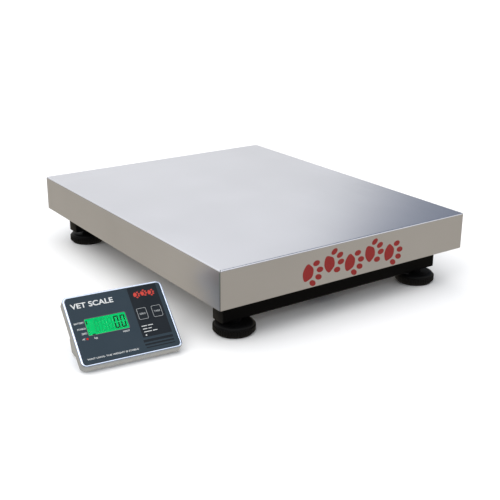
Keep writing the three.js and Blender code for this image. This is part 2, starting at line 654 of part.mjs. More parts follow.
// A power inlet: a flange outside the wall, a body through it and a round hole for the plug.
function makeSocket() {
  const lap = 2 * SOCKET_FLANGE;
  const front = GAP + SOCKET_FLANGE;
  const flange = block(SOCKET.width + lap, SOCKET.height + lap, GAP, front);
  const body = block(SOCKET.width - 2 * GAP, SOCKET.height - 2 * GAP, -SOCKET.depth, front - GAP);
  const bore = rod(SOCKET_BORE_RADIUS, SOCKET_FLANGE - SOCKET.depth, front + OVERRUN);
  return cut(join(flange, body), bore);
}

// A rubber runner under the housing, in the indicator's level axes.
function makeRunner(side) {
  const backOf = (depth) => {
    const y = (HOUSING_UNDERSIDE - FACE_CENTRE_Z + depth * FACE_COS) / FACE_SIN;
    return FACE_CENTRE_Y + y * FACE_COS + depth * FACE_SIN;
  };
  const front = backOf(TRAY_DEPTH) + RUNNER_INSET_Y;
  const back = backOf(HOUSING_HEEL_DEPTH) - RUNNER_INSET_Y;
  const x = FACE_WIDTH / 2 + side * (HOUSING_WIDTH / 2 - RUNNER_INSET_X);
  return block(RUNNER_WIDTH, back - front, 0, RUNNER_THICKNESS, x, (front + back) / 2);
}

// ---- Assembly -----------------------------------------------------------------------------------

const scale = new THREE.Group();

function add(name, geometry, material, parent = scale) {
  const mesh = new THREE.Mesh(geometry, material);
  mesh.name = name;
  parent.add(mesh);
  return mesh;
}

function forEachCorner(build) {
  for (const [endName, end] of Object.entries(ENDS)) {
    for (const [sideName, side] of Object.entries(SIDES)) {
      build(`${endName}_${sideName}`, side, end);
    }
  }
}

function addPlatform() {
  add('pan_cover', makePan(), brushedSteel);
  add('upper_spine', makeUpperSpine(), blackPaint);
  add('upper_spacer', makeSpacer(ENDS.rear, CELL_TOP + GAP), zincPlate);
  add('load_cell', makeLoadCell(), millAluminium);
  add('lower_spacer', makeSpacer(ENDS.front, WEB_TOP + GAP), zincPlate);
  add('base_spine', makeBaseSpine(), blackPaint);
  for (const [name, end] of Object.entries(ENDS)) {
    add(`upper_${name}_beam`, makeUpperBeam(end), blackPaint);
    add(`base_${name}_beam`, makeBaseBeam(end), blackPaint);
  }
  CELL_BOLT_YS.forEach((y, index) => {
    add(`upper_cell_bolt_${index + 1}`, makeUpperBolt(y), zincPlate);
    add(`lower_cell_bolt_${index + 1}`, makeLowerBolt(y), zincPlate);
  });
  forEachCorner((corner, side, end) => {
    add(`pan_bumper_${corner}`, makePanBumper(side, end), blackRubber);
    add(`overload_stop_${corner}`, makeOverloadStop(side, end), zincPlate);
  });
  const gland = add('base_cable_gland', makeGland(BASE_SPINE_WALL), blackPlastic);
  gland.position.set(-BASE_SPINE_WIDTH / 2, BASE_GLAND_Y, (WEB_TOP + BEAM_TOP) / 2);
  gland.rotation.y = -Math.PI / 2;
}

function addFeet() {
  forEachCorner((corner, side, end) => {
    const foot = new THREE.Group();
    foot.position.set(side * FOOT_X, end * FOOT_Y, 0);
    scale.add(foot);
    add(`foot_pad_${corner}`, makeFootPad(), blackRubber, foot);
    add(`foot_disc_${corner}`, makeFootDisc(), blackPlastic, foot);
    add(`foot_stud_${corner}`, makeFootStud(), zincPlate, foot);
    add(`lock_nut_${corner}`, makeLockNut(), zincPlate, foot);
  });
}

function addIndicator() {
  const stand = new THREE.Group();
  stand.position.set(-PAN_WIDTH / 2 - INDICATOR_LEFT, INDICATOR_BACK - PAN_DEPTH / 2, 0);
  stand.rotation.z = INDICATOR_YAW;
  scale.add(stand);
  const face = new THREE.Group();
  face.position.set(FACE_WIDTH / 2, FACE_CENTRE_Y, FACE_CENTRE_Z);
  face.rotation.x = FACE_TILT;
  stand.add(face);
  add('front_tray', makeFrontTray(), brushedSteel, face);
  add('rear_housing', makeRearHousing(), brushedSteel, face);
  add('face_overlay', makeOverlay(), slateFilm, face);
  add('display_window', makeWindow(), clearAcrylic, face);
  add('display_module', makeDisplay(), litGreen, face);
  add('main_board', makeBoard(), boardGreen, face);
  add('power_led', makeLed(), redLens, face);
  add('battery_pack', makeBattery(), cellWrap, face);
  for (const name of Object.keys(KEY_RIGHTS)) {
    add(`${name}_key`, makeKey(name), darkFilm, face);
    add(`${name}_key_switch`, makeKeySwitch(name), blackPlastic, face);
  }
  postPlaces().forEach((place, index) => {
    add(`housing_screw_${index + 1}`, makeScrew(place), zincPlate, face);
  });
  const gland = placeOnSlope(makeGland(HOUSING_SHEET), INDICATOR_GLAND_OFFSET);
  add('indicator_cable_gland', gland, blackPlastic, face);
  add('power_socket', placeOnSlope(makeSocket(), SOCKET_OFFSET), blackPlastic, face);
  for (const [name, side] of Object.entries(SIDES)) {
    add(`rubber_runner_${name}`, makeRunner(side), blackRubber, stand);
  }
}

addPlatform();
addFeet();
addIndicator();

// The origin is on the floor, under the middle of everything.
scale.updateMatrixWorld(true);
const middle = new THREE.Box3().setFromObject(scale, true).getCenter(new THREE.Vector3());
scale.position.set(-middle.x, -middle.y, 0);

export default scale;
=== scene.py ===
"""An animal weighing scale: a stainless pan on a black frame with four screw feet, and its indicator.

Every piece is made in metres in the frame's own axes, with the floor at z = 0.
"""

import json
import math

import bmesh
import bpy
import numpy as np
from bpy.props import FloatProperty, FloatVectorProperty, IntProperty, StringProperty
from mathutils import Matrix, Vector

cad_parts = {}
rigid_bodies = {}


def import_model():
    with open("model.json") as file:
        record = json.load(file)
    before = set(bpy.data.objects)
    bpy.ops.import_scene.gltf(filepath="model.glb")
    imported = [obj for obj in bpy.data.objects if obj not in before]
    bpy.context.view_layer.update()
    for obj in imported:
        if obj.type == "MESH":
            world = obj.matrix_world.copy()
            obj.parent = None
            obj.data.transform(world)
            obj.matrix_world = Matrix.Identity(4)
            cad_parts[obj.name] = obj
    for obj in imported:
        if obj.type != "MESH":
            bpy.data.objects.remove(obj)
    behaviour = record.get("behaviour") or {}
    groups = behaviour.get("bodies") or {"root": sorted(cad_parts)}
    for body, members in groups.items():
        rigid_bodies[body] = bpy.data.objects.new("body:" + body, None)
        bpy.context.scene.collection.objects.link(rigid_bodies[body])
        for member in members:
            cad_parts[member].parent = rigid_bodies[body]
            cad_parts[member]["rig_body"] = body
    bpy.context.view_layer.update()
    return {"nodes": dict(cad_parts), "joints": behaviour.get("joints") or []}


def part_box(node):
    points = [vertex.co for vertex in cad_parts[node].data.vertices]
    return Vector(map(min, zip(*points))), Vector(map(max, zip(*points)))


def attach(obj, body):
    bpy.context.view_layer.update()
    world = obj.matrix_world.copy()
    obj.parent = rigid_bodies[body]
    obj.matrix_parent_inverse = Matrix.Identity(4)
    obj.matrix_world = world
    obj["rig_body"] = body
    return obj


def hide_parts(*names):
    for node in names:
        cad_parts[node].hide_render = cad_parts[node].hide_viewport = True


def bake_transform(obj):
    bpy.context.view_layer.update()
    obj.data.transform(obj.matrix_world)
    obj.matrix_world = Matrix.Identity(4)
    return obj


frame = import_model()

bl_info = {
    "name": "Animal Weighing Scale",
    "version": (1, 0, 0),
    "blender": (4, 5, 0),
    "location": "View3D > Sidebar > Scale",
    "description": "Builds a platform scale for animals and its indicator around a packed frame",
    "category": "Add Mesh",
}

MM = 0.001
CORNERS = ("front_left", "front_right", "rear_left", "rear_right")
ENDS = ("front", "rear")
SIDES = (("left", -1), ("right", 1))
SCREWS = range(1, 5)
KEYS = ("zero", "tare")
UP = Vector((0, 0, 1))


# ---- Places read from the frame -----------------------------------------------------------------


def middle(node):
    """The middle of a node's box."""
    low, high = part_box(node)
    return (low + high) / 2


def halfway(low, high):
    """The x and y of the middle of a box."""
    return (low.x + high.x) / 2, (low.y + high.y) / 2


def points_of(node, axes):
    """A node's vertices, seen in other axes."""
    turn = np.array(axes.inverted())
    places = np.array([v.co[:] + (1.0,) for v in frame["nodes"][node].data.vertices])
    return (places @ turn.T)[:, :3]


def box_in(node, axes):
    """The lowest and highest corner of a node, seen in other axes."""
    places = points_of(node, axes)
    return Vector(places.min(0)), Vector(places.max(0))


def face_axes():
    """The indicator's face: x across it, y up it, z out of it, from the middle of its rim's plane."""
    joint = next(j for j in frame["joints"] if j["name"] == "zero_key_press")
    out = Vector(joint["axis"]).normalized()
    across = UP.cross(out).normalized()
    axes = Matrix((across, out.cross(across), out)).transposed().to_4x4()
    low, high = box_in("front_tray", axes)
    origin = axes @ Vector(((low.x + high.x) / 2, (low.y + high.y) / 2, high.z))
    return Matrix.Translation(origin) @ axes


def turned_axes(node, away_from):
    """A long turned node's own axes: z along it, pointing away from another node, from its outer end."""
    places = points_of(node, Matrix.Identity(4))
    centre = places.mean(0)
    _, directions = np.linalg.eigh(np.cov((places - centre).T))
    out = Vector(directions[:, -1])
    if out.dot(Vector(centre) - middle(away_from)) < 0:
        out = -out
    reach = ((places - centre) @ np.array(out)).max()
    across = UP.cross(out).normalized()
    axes = Matrix((across, out.cross(across), out)).transposed().to_4x4()
    return Matrix.Translation(Vector(centre) + out * reach) @ axes


FACE = face_axes()
FACE_LOW, FACE_HIGH = box_in("front_tray", FACE)
FACE_WIDTH = FACE_HIGH.x - FACE_LOW.x
FACE_HEIGHT = FACE_HIGH.y - FACE_LOW.y


# ---- Settings -----------------------------------------------------------------------------------


def length(name, description, default):
    """A length in millimetres, kept in metres."""
    return FloatProperty(
        name=name,
        description=description,
        default=default * MM,
        min=0,
        precision=5,
        subtype="DISTANCE",
        unit="LENGTH",
    )


def colour(name, description, default):
    """A linear colour."""
    return FloatVectorProperty(
        name=name, description=description, default=default, size=3, min=0, max=1, subtype="COLOR"
    )


class ScaleSizes(bpy.types.PropertyGroup):
    """Sizes of the details that the frame leaves open."""

    bend_radius: length("Bend Radius", "Outside radius of the pan's folded edges", 2.6)
    pan_sheet: length("Pan Sheet", "Thickness of the pan's sheet", 1.5)
    seam_gap: length("Seam Gap", "Half the gap where two skirts meet at a corner", 0.9)
    tube_radius: length("Tube Radius", "Outside radius of the square tubes' corners", 2.4)
    cap_thickness: length("Cap Thickness", "How far an end cap stands out of its tube", 1.4)
    foot_band_top: length("Foot Band Top", "Height of the top of the ribbed band", 13)
    foot_rib_depth: length("Rib Depth", "How far the feet's ribs stand out", 1.2)
    foot_ribs: IntProperty(name="Foot Ribs", description="Ribs round each foot", default=48, min=8)
    stud_pitch: length("Stud Pitch", "Pitch of the feet's thread", 1.75)
    stop_pitch: length("Stop Pitch", "Pitch of the overload stops' thread", 1.25)
    bead_spacing: length("Bead Spacing", "Distance between two ripples of a weld", 1.5)
    rim_width: length("Rim Width", "Width of the rim round the indicator's face", 3.5)
    rim_radius: length("Rim Radius", "Outside radius of the indicator's rim", 2.6)
    ink: length("Ink", "Thickness of printed ink", 0.05)


class ScaleColours(bpy.types.PropertyGroup):
    """Colours of the finishes."""

    steel: colour("Steel", "Stainless sheet", (0.605, 0.615, 0.665))
    # Its strong blue tint is painted reflection, the cool cast that polished steel takes from its
    # surroundings.
    case_steel: colour("Case Steel", "Polished stainless of the indicator", (0.66, 0.75, 0.93))
    paint: colour("Paint", "Powder coat on the frames", (0.0022, 0.0022, 0.0024))
    plastic: colour("Plastic", "Moulded black plastic", (0.0028, 0.0028, 0.0032))
    slate: colour("Slate", "Printed face film", (0.024, 0.039, 0.053))
    panel: colour("Panel", "Dark print round the keys", (0.0075, 0.0115, 0.0165))
    white_ink: colour("White Ink", "Lettering", (0.6, 0.62, 0.62))
    grey_ink: colour("Grey Ink", "Outlines of the keys", (0.36, 0.38, 0.39))
    red_ink: colour("Red Ink", "Paw prints on the skirt", (0.24, 0.0105, 0.0105))
    orange_ink: colour("Orange Ink", "Paw prints on the face", (0.5, 0.018, 0.003))
    lit: colour("Lit Display", "Backlight of the display", (0.0, 0.53, 0.14))


class StageSettings(bpy.types.PropertyGroup):
    """The floor, the light and the camera."""

    lens: FloatProperty(
        name="Lens", description="Focal length", default=65.8, min=10, subtype="DISTANCE_CAMERA"
    )
    camera_offset: FloatVectorProperty(
        name="Camera Offset",
        description="From the lower end of the pan's front left corner to the camera",
        default=(-0.6618, -1.0176, 0.5289),
        subtype="TRANSLATION",
        unit="LENGTH",
    )
    turn: FloatProperty(
        name="Turn",
        description="Where the camera looks, from +Y towards +X",
        default=math.radians(35.05),
        subtype="ANGLE",
        unit="ROTATION",
    )
    dip: FloatProperty(
        name="Dip",
        description="How far the camera looks below the horizon",
        default=math.radians(19.67),
        subtype="ANGLE",
        unit="ROTATION",
    )
    roll: FloatProperty(
        name="Roll",
        description="Turn of the camera about its own line of sight",
        default=math.radians(0.41),
        subtype="ANGLE",
        unit="ROTATION",
    )
    floor_size: FloatProperty(
        name="Floor Size", description="Side of the floor", default=60, min=1, unit="LENGTH"
    )


def sizes():
    return bpy.context.scene.scale_sizes


def colours():
    return bpy.context.scene.scale_colours


# ---- Meshes -------------------------------------------------------------------------------------


def rounded_outline(width, height, radius, steps=8, x=0, y=0):
    """Points of a rounded rectangle round (x, y), counterclockwise."""
    points = []
    for quarter, (right, top) in enumerate(((1, 1), (-1, 1), (-1, -1), (1, -1))):
        centre_x = x + right * (width / 2 - radius)
        centre_y = y + top * (height / 2 - radius)
        for step in range(steps + 1):
            angle = (quarter + step / steps) * math.pi / 2
            points.append((centre_x + radius * math.cos(angle), centre_y + radius * math.sin(angle)))
    return points


def circle(radius, sides, x=0, y=0):
    turns = [2 * math.pi * i / sides for i in range(sides)]
    return [(x + radius * math.cos(turn), y + radius * math.sin(turn)) for turn in turns]


def arc(centre_x, centre_y, radius, start, end, steps=5):
    """Points of an arc between two angles in degrees."""
    turns = [math.radians(start + (end - start) * i / steps) for i in range(steps + 1)]
    return [(centre_x + radius * math.cos(t), centre_y + radius * math.sin(t)) for t in turns]


def dome(inner, outer, bottom, top, steps):
    """Points of a quarter ellipse from (outer, bottom) to (inner, top), without its ends."""
    turns = [step / steps * math.pi / 2 for step in range(1, steps)]
    reach, rise = outer - inner, top - bottom
    return [(inner + reach * math.cos(t), bottom + rise * math.sin(t)) for t in turns]


def skin(rings, closed=False, capped=True):
    """A shape skinned over rings of equal length. Closed joins the last ring to the first."""
    shape = bmesh.new()
    rows = [[shape.verts.new(point) for point in ring] for ring in rings]
    pairs = list(zip(rows, rows[1:]))
    if closed:
        pairs.append((rows[-1], rows[0]))
    for low, high in pairs:
        for i, vertex in enumerate(low):
            j = (i + 1) % len(low)
            shape.faces.new((vertex, low[j], high[j], high[i]))
    if capped and not closed:
        shape.faces.new(rows[0][::-1])
        shape.faces.new(rows[-1])
    return shape


def tidied(shape):
    """The same shape with its doubles merged and its faces pointing out."""
    bmesh.ops.remove_doubles(shape, verts=shape.verts, dist=MM * 0.001)
    bmesh.ops.recalc_face_normals(shape, faces=shape.faces)
    return shape


def turned(profile, sides=48, closed=False):
    """A shape turned about z from (radius, height) points, which start and end on the axis or close."""
    rings = [[(x, y, z) for x, y in circle(radius, sides)] for radius, z in profile]
    return tidied(skin(rings, closed=closed, capped=False))


def prism(outline, bottom, top, edge=0.0):
    """An outline raised from bottom to top, with its upper edge broken by a chamfer."""
    rings = [[(x, y, bottom) for x, y in outline], [(x, y, top - edge) for x, y in outline]]
    if edge > 0:
        centre = sum((Vector(point) for point in outline), Vector((0, 0))) / len(outline)
        reach = max((Vector(point) - centre).length for point in outline)
        inner = [centre + (Vector(point) - centre) * (1 - edge / reach) for point in outline]
        rings.append([(point.x, point.y, top) for point in inner])
    return skin(rings)


def plate(loops, bottom, top):
    """A flat plate inside the first loop, with the other loops as holes."""
    shape = bmesh.new()
    levels = []
    for z in (bottom, top):
        level = [[shape.verts.new((x, y, z)) for x, y in loop] for loop in loops]
        edges = []
        for row in level:
            edges += [shape.edges.new((vertex, row[i - 1])) for i, vertex in enumerate(row)]
        bmesh.ops.triangle_fill(shape, edges=edges, use_beauty=True, use_dissolve=False)
        levels.append(level)
    for low, high in zip(*levels):
        for i, vertex in enumerate(low):
            shape.faces.new((low[i - 1], vertex, high[i], high[i - 1]))
    bmesh.ops.recalc_face_normals(shape, faces=shape.faces)
    return shape


def moved(shape, place):
    bmesh.ops.transform(shape, matrix=place, verts=shape.verts)
    return shape


def gathered(shapes):
    """One shape that holds all the others."""
    whole = bmesh.new()
    for shape in shapes:
        part = bpy.data.meshes.new("part")
        shape.to_mesh(part)
        shape.free()
        whole.from_mesh(part)
        bpy.data.meshes.remove(part)
    return whole


def hexagon_ring(apothem, z, chamfer_from=None):
    """A ring of a hexagon, lowered outside chamfer_from as a nut's corners are."""
    ring = []
    for step in range(48):
        angle = 2 * math.pi * step / 48
        radius = apothem / math.cos((angle + math.pi / 6) % (math.pi / 3) - math.pi / 6)
        drop = 0 if chamfer_from is None else max(0, radius - chamfer_from) * math.tan(math.pi / 6)
        ring.append((radius * math.cos(angle), radius * math.sin(angle), z - drop))
    return ring


def nut(apothem, bottom, top, bore):
    """A chamfered hexagon nut. With no bore it is a bolt's head."""
    flat = apothem * 0.96
    lower = [(x, y, bottom + (bottom - z)) for x, y, z in hexagon_ring(apothem, bottom, flat)]
    rings = [
        [(x, y, bottom) for x, y in circle(flat, 48)],
        lower,
        hexagon_ring(apothem, top, flat),
        [(x, y, top) for x, y in circle(flat, 48)],
    ]
    if bore == 0:
        return skin(rings)
    lead_in = bore * 1.12
    rings.append([(x, y, top) for x, y in circle(lead_in, 48)])
    rings.append([(x, y, top - (lead_in - bore)) for x, y in circle(bore, 48)])
    rings.append([(x, y, bottom + (lead_in - bore)) for x, y in circle(bore, 48)])
    rings.append([(x, y, bottom) for x, y in circle(lead_in, 48)])
    return tidied(skin(rings, closed=True))


def lettering(words, cap_height, x, y, align="CENTER", width=None, weight=0.0):
    """Flat words as a shape, with the middle of their height at y and their anchor at x."""
    text = bpy.data.curves.new("words", "FONT")
    text.body = words
    text.align_x = align
    text.extrude = 0.5
    text.offset = weight
    text.resolution_u = 5
    carrier = bpy.data.objects.new("words", text)
    bpy.context.scene.collection.objects.link(carrier)
    made = bpy.data.meshes.new_from_object(evaluated(carrier))
    bpy.data.objects.remove(carrier)
    shape = bmesh.new()
    shape.from_mesh(made)
    bpy.data.meshes.remove(made)
    bmesh.ops.remove_doubles(shape, verts=shape.verts, dist=0.002)
    bmesh.ops.dissolve_degenerate(shape, dist=0.001, edges=shape.edges)
    bmesh.ops.recalc_face_normals(shape, faces=shape.faces)
    low_x, high_x = extent(shape, 0)
    low_y, high_y = extent(shape, 1)
    tall = cap_height / (high_y - low_y)
    wide = tall if width is None else width / (high_x - low_x)
    anchor = {"LEFT": low_x, "CENTER": (low_x + high_x) / 2, "RIGHT": high_x}[align]
    thick = sizes().ink
    scale = Matrix.Diagonal((wide, tall, thick, 1))
    centred = Matrix.Translation((-anchor, -(low_y + high_y) / 2, 0.5))
    return moved(shape, Matrix.Translation((x, y, 0)) @ scale @ centred)


def extent(shape, axis):
    places = [vertex.co[axis] for vertex in shape.verts]
    return min(places), max(places)


def evaluated(piece):
    return piece.evaluated_get(bpy.context.evaluated_depsgraph_get())


def settled(piece):
    """Makes a piece's modifiers part of its mesh."""
    graph = bpy.context.evaluated_depsgraph_get()
    made = bpy.data.meshes.new_from_object(piece.evaluated_get(graph), depsgraph=graph)
    piece.modifiers.clear()
    piece.data = made
    return piece


def as_piece(shape, name, place=None, smooth=35):
    """Links a shape as an object at the origin, with its place in its mesh."""
    if place is not None:
        moved(shape, place)
    mesh = bpy.data.meshes.new(name)
    shape.to_mesh(mesh)
    shape.free()
    piece = bpy.data.objects.new(name, mesh)
    bpy.context.scene.collection.objects.link(piece)
    return shaded(piece, smooth)


def shaded(piece, smooth=35):
    piece.data.shade_smooth()
    piece.data.set_sharp_from_angle(angle=math.radians(smooth))
    return piece


def evened(piece):
    """Keeps the flat faces beside a small radius flat in the light."""
    normals = piece.modifiers.new("Even normals", "WEIGHTED_NORMAL")
    normals.keep_sharp = True
    return piece


def eased_copy(node, name, width, steps=3, keep=None):
    """A copy of a CAD node with its sharp edges rounded, and those edges marked for wear."""
    shape = bmesh.new()
    shape.from_mesh(frame["nodes"][node].data)
    worn = shape.faces.layers.float.new("edge")
    bmesh.ops.remove_doubles(shape, verts=shape.verts, dist=MM * 0.01)
    bmesh.ops.dissolve_limit(
        shape, angle_limit=math.radians(0.5), verts=shape.verts, edges=shape.edges
    )
    sharp = [e for e in shape.edges if e.is_manifold and e.calc_face_angle() > math.radians(28)]
    if keep is not None:
        sharp = [edge for edge in sharp if all(keep(vertex.co) for vertex in edge.verts)]
    rounded = bmesh.ops.bevel(
        shape,
        geom=sharp,
        offset=width,
        segments=steps,
        profile=0.5,
        affect="EDGES",
        clamp_overlap=True,
    )
    for face in rounded["faces"]:
        face[worn] = 1.0
    return evened(as_piece(shape, name))


# ---- Geometry Nodes -----------------------------------------------------------------------------

KINDS = {
    "int": "NodeSocketInt",
    "float": "NodeSocketFloat",
    "geometry": "NodeSocketGeometry",
    "material": "NodeSocketMaterial",
    "object": "NodeSocketObject",
}


def geometry_tree(name, **inputs):
    """An empty tree with a geometry in and out, and the named inputs."""
    tree = bpy.data.node_groups.new(name, "GeometryNodeTree")
    tree.interface.new_socket("Geometry", in_out="INPUT", socket_type=KINDS["geometry"])
    for label, kind in inputs.items():
        title = label.replace("_", " ").title()
        tree.interface.new_socket(title, in_out="INPUT", socket_type=KINDS[kind])
    tree.interface.new_socket("Geometry", in_out="OUTPUT", socket_type=KINDS["geometry"])
    return tree, tree.nodes.new("NodeGroupInput"), tree.nodes.new("NodeGroupOutput")


def put(tree, kind, inputs=None, **settings):
    """A new node, with its settings, and its inputs set to a value or linked to a socket."""
    made = tree.nodes.new(kind)
    for key, value in settings.items():
        setattr(made, key, value)
    for key, value in (inputs or {}).items():
        if isinstance(value, bpy.types.NodeSocket):
            tree.links.new(value, made.inputs[key])
        else:
            made.inputs[key].default_value = value
    return made


def reckon(tree, operation, first, second):
    """The result of a sum, a product or another operation on two values."""
    made = put(tree, "ShaderNodeMath", {0: first, 1: second}, operation=operation)
    return made.outputs["Value"]


def finish_tree(tree, start, end, result):
    """Realizes the instances, sets the material and ends the tree."""
    real = put(tree, "GeometryNodeRealizeInstances", {"Geometry": result})
    painted = put(
        tree,
        "GeometryNodeSetMaterial",
        {"Geometry": real.outputs["Geometry"], "Material": start.outputs["Material"]},
    )
    tree.links.new(painted.outputs["Geometry"], end.inputs["Geometry"])
    return tree


def grown(piece, tree, **values):
    """Runs a tree on a piece with these inputs, and keeps the result as its plain mesh."""
    modifier = piece.modifiers.new(tree.name, "NODES")
    modifier.node_group = tree
    named = {key.replace("_", " ").title(): value for key, value in values.items()}
    for item in tree.interface.items_tree:
        if item.item_type == "SOCKET" and item.in_out == "INPUT" and item.name in named:
            modifier[item.identifier] = named[item.name]
    return settled(piece)


def join_raised(tree, start, end, added, height):
    """Lifts a shape, joins it to the one that came in, and ends the tree."""
    lift = put(tree, "ShaderNodeCombineXYZ", {"Z": height})
    raised_shape = put(
        tree, "GeometryNodeTransform", {"Geometry": added, "Translation": lift.outputs["Vector"]}
    )
    both = put(tree, "GeometryNodeJoinGeometry", {"Geometry": start.outputs["Geometry"]})
    tree.links.new(raised_shape.outputs["Geometry"], both.inputs["Geometry"])
    return finish_tree(tree, start, end, both.outputs["Geometry"])


def random_size(tree, smallest, largest, seed):
    """A share between two limits, drawn anew for each instance."""
    low, high, result = 2, 3, 1
    limits = {low: smallest, high: largest, "Seed": seed}
    return put(tree, "FunctionNodeRandomValue", limits, data_type="FLOAT").outputs[result]


def once(name, build):
    """The tree of that name, built the first time that it is asked for."""
    return bpy.data.node_groups.get(name) or build(name)


RIB_SIDES = 8


def build_ribbed_band(name):
    """Upright ribs round the z axis, one flat of each facing out, joined to the shape they stand on."""
    tree, start, end = geometry_tree(
        name,
        ribs="int",
        ring_radius="float",
        rib_radius="float",
        height="float",
        middle="float",
        material="material",
    )
    ring = put(
        tree,
        "GeometryNodeMeshCircle",
        {"Vertices": start.outputs["Ribs"], "Radius": start.outputs["Ring Radius"]},
    )
    rib = put(
        tree,
        "GeometryNodeMeshCylinder",
        {
            "Vertices": RIB_SIDES,
            "Radius": start.outputs["Rib Radius"],
            "Depth": start.outputs["Height"],
        },
    )
    flat_out = put(
        tree,
        "GeometryNodeTransform",
        {"Geometry": rib.outputs["Mesh"], "Rotation": (0, 0, math.pi / RIB_SIDES)},
    )
    place = put(tree, "GeometryNodeInputPosition")
    facing = put(
        tree, "FunctionNodeAlignRotationToVector", {"Vector": place.outputs["Position"]}, axis="X"
    )
    ribs = put(
        tree,
        "GeometryNodeInstanceOnPoints",
        {
            "Points": ring.outputs["Mesh"],
            "Instance": flat_out.outputs["Geometry"],
            "Rotation": facing.outputs["Rotation"],
        },
    )
    return join_raised(tree, start, end, ribs.outputs["Instances"], start.outputs["Middle"])


def build_thread(name):
    """A helical ridge round the z axis, joined to the rod that it is cut on."""
    tree, start, end = geometry_tree(
        name,
        turns="float",
        radius="float",
        length="float",
        ridge="float",
        bottom="float",
        material="material",
    )
    helix = put(
        tree,
        "GeometryNodeCurveSpiral",
        {
            "Resolution": 20,
            "Rotations": start.outputs["Turns"],
            "Start Radius": start.outputs["Radius"],
            "End Radius": start.outputs["Radius"],
            "Height": start.outputs["Length"],
        },
    )
    upright = put(
        tree, "GeometryNodeSetCurveNormal", {"Curve": helix.outputs["Curve"]}, mode="Z_UP"
    )
    ridge = put(
        tree,
        "GeometryNodeCurvePrimitiveCircle",
        {"Resolution": 4, "Radius": start.outputs["Ridge"]},
    )
    swept = put(
        tree,
        "GeometryNodeCurveToMesh",
        {
            "Curve": upright.outputs["Curve"],
            "Profile Curve": ridge.outputs["Curve"],
            "Fill Caps": True,
        },
    )
    return join_raised(tree, start, end, swept.outputs["Mesh"], start.outputs["Bottom"])


def build_weld_bead(name):
    """Overlapping ripples of weld along the edges of a wire mesh."""
    tree, start, end = geometry_tree(
        name, spacing="float", ripple="float", material="material"
    )
    path = put(tree, "GeometryNodeMeshToCurve", {"Mesh": start.outputs["Geometry"]})
    steps = put(
        tree,
        "GeometryNodeCurveToPoints",
        {"Curve": path.outputs["Curve"], "Length": start.outputs["Spacing"]},
        mode="LENGTH",
    )
    ripple = put(
        tree,
        "GeometryNodeMeshUVSphere",
        {"Segments": 10, "Rings": 6, "Radius": start.outputs["Ripple"]},
    )
    beads = put(
        tree,
        "GeometryNodeInstanceOnPoints",
        {
            "Points": steps.outputs["Points"],
            "Instance": ripple.outputs["Mesh"],
            "Rotation": steps.outputs["Rotation"],
            "Scale": random_size(tree, 0.85, 1.1, 7),
        },
    )
    return finish_tree(tree, start, end, beads.outputs["Instances"])


def build_copies(name):
    """A copy of another object at each point."""
    tree, start, end = geometry_tree(name, original="object", material="material")
    piece = put(tree, "GeometryNodeObjectInfo", {"Object": start.outputs["Original"]})
    points = put(tree, "GeometryNodeMeshToPoints", {"Mesh": start.outputs["Geometry"]})
    copies = put(
        tree,
        "GeometryNodeInstanceOnPoints",
        {"Points": points.outputs["Points"], "Instance": piece.outputs["Geometry"]},
    )
    return finish_tree(tree, start, end, copies.outputs["Instances"])


def build_chips(name):
    """Small parts spread over a board, each a block of its own size."""
    tree, start, end = geometry_tree(
        name, density="float", seed="int", largest="float", material="material"
    )
    places = put(
        tree,
        "GeometryNodeDistributePointsOnFaces",
        {
            "Mesh": start.outputs["Geometry"],
            "Distance Min": start.outputs["Largest"],
            "Density Max": start.outputs["Density"],
            "Seed": start.outputs["Seed"],
        },
        distribute_method="POISSON",
    )
    block = put(tree, "GeometryNodeMeshCube", {"Size": (1, 0.6, 0.35)})
    scaled = reckon(tree, "MULTIPLY", random_size(tree, 0.25, 0.8, 11), start.outputs["Largest"])
    chips = put(
        tree,
        "GeometryNodeInstanceOnPoints",
        {
            "Points": places.outputs["Points"],
            "Instance": block.outputs["Mesh"],
            "Rotation": places.outputs["Rotation"],
            "Scale": scaled,
        },
    )
    return finish_tree(tree, start, end, chips.outputs["Instances"])


# ---- Shader groups ------------------------------------------------------------------------------


def shader_group(name, inputs, outputs):
    """An empty shader group with named inputs, each with its default, and named outputs."""
    group = bpy.data.node_groups.new(name, "ShaderNodeTree")
    for label, (kind, default) in inputs.items():
        socket = group.interface.new_socket(label, in_out="INPUT", socket_type=kind)
        socket.default_value = default
    for label, kind in outputs.items():
        group.interface.new_socket(label, in_out="OUTPUT", socket_type=kind)
    return group, group.nodes.new("NodeGroupInput"), group.nodes.new("NodeGroupOutput")


VALUE = "NodeSocketFloat"


def noise(tree, places, scale, detail, roughness=0.5):
    """Cloudy noise over these places."""
    inputs = {"Vector": places, "Scale": scale, "Detail": detail, "Roughness": roughness}
    return put(tree, "ShaderNodeTexNoise", inputs).outputs["Fac"]


def spread(tree, value, low, high, start=0.3, end=0.7, curve="LINEAR"):
    """A value between start and end, brought to the range from low to high."""
    inputs = {"Value": value, "From Min": start, "From Max": end, "To Min": low, "To Max": high}
    made = put(tree, "ShaderNodeMapRange", inputs, interpolation_type=curve)
    return made.outputs["Result"]


def build_brushed_grain(name):
    """Fine scratches that run along y, and a slow drift of the polish."""
    group, start, end = shader_group(
        name,
        {
            "Along": (VALUE, 6.0),
            "Across": (VALUE, 900.0),
            "Drift": (VALUE, 5.0),
        },
        {"Scratch": VALUE, "Drift": VALUE},
    )
    place = put(group, "ShaderNodeTexCoord")
    stretch = put(
        group,
        "ShaderNodeCombineXYZ",
        {"X": start.outputs["Across"], "Y": start.outputs["Along"], "Z": start.outputs["Across"]},
    )
    stretched = put(
        group,
        "ShaderNodeVectorMath",
        {0: place.outputs["Object"], 1: stretch.outputs["Vector"]},
        operation="MULTIPLY",
    )
    scratch = noise(group, stretched.outputs["Vector"], 1.0, 4.0, roughness=0.65)
    drift = noise(group, place.outputs["Object"], start.outputs["Drift"], 2.0)
    group.links.new(scratch, end.inputs["Scratch"])
    group.links.new(drift, end.inputs["Drift"])
    return group


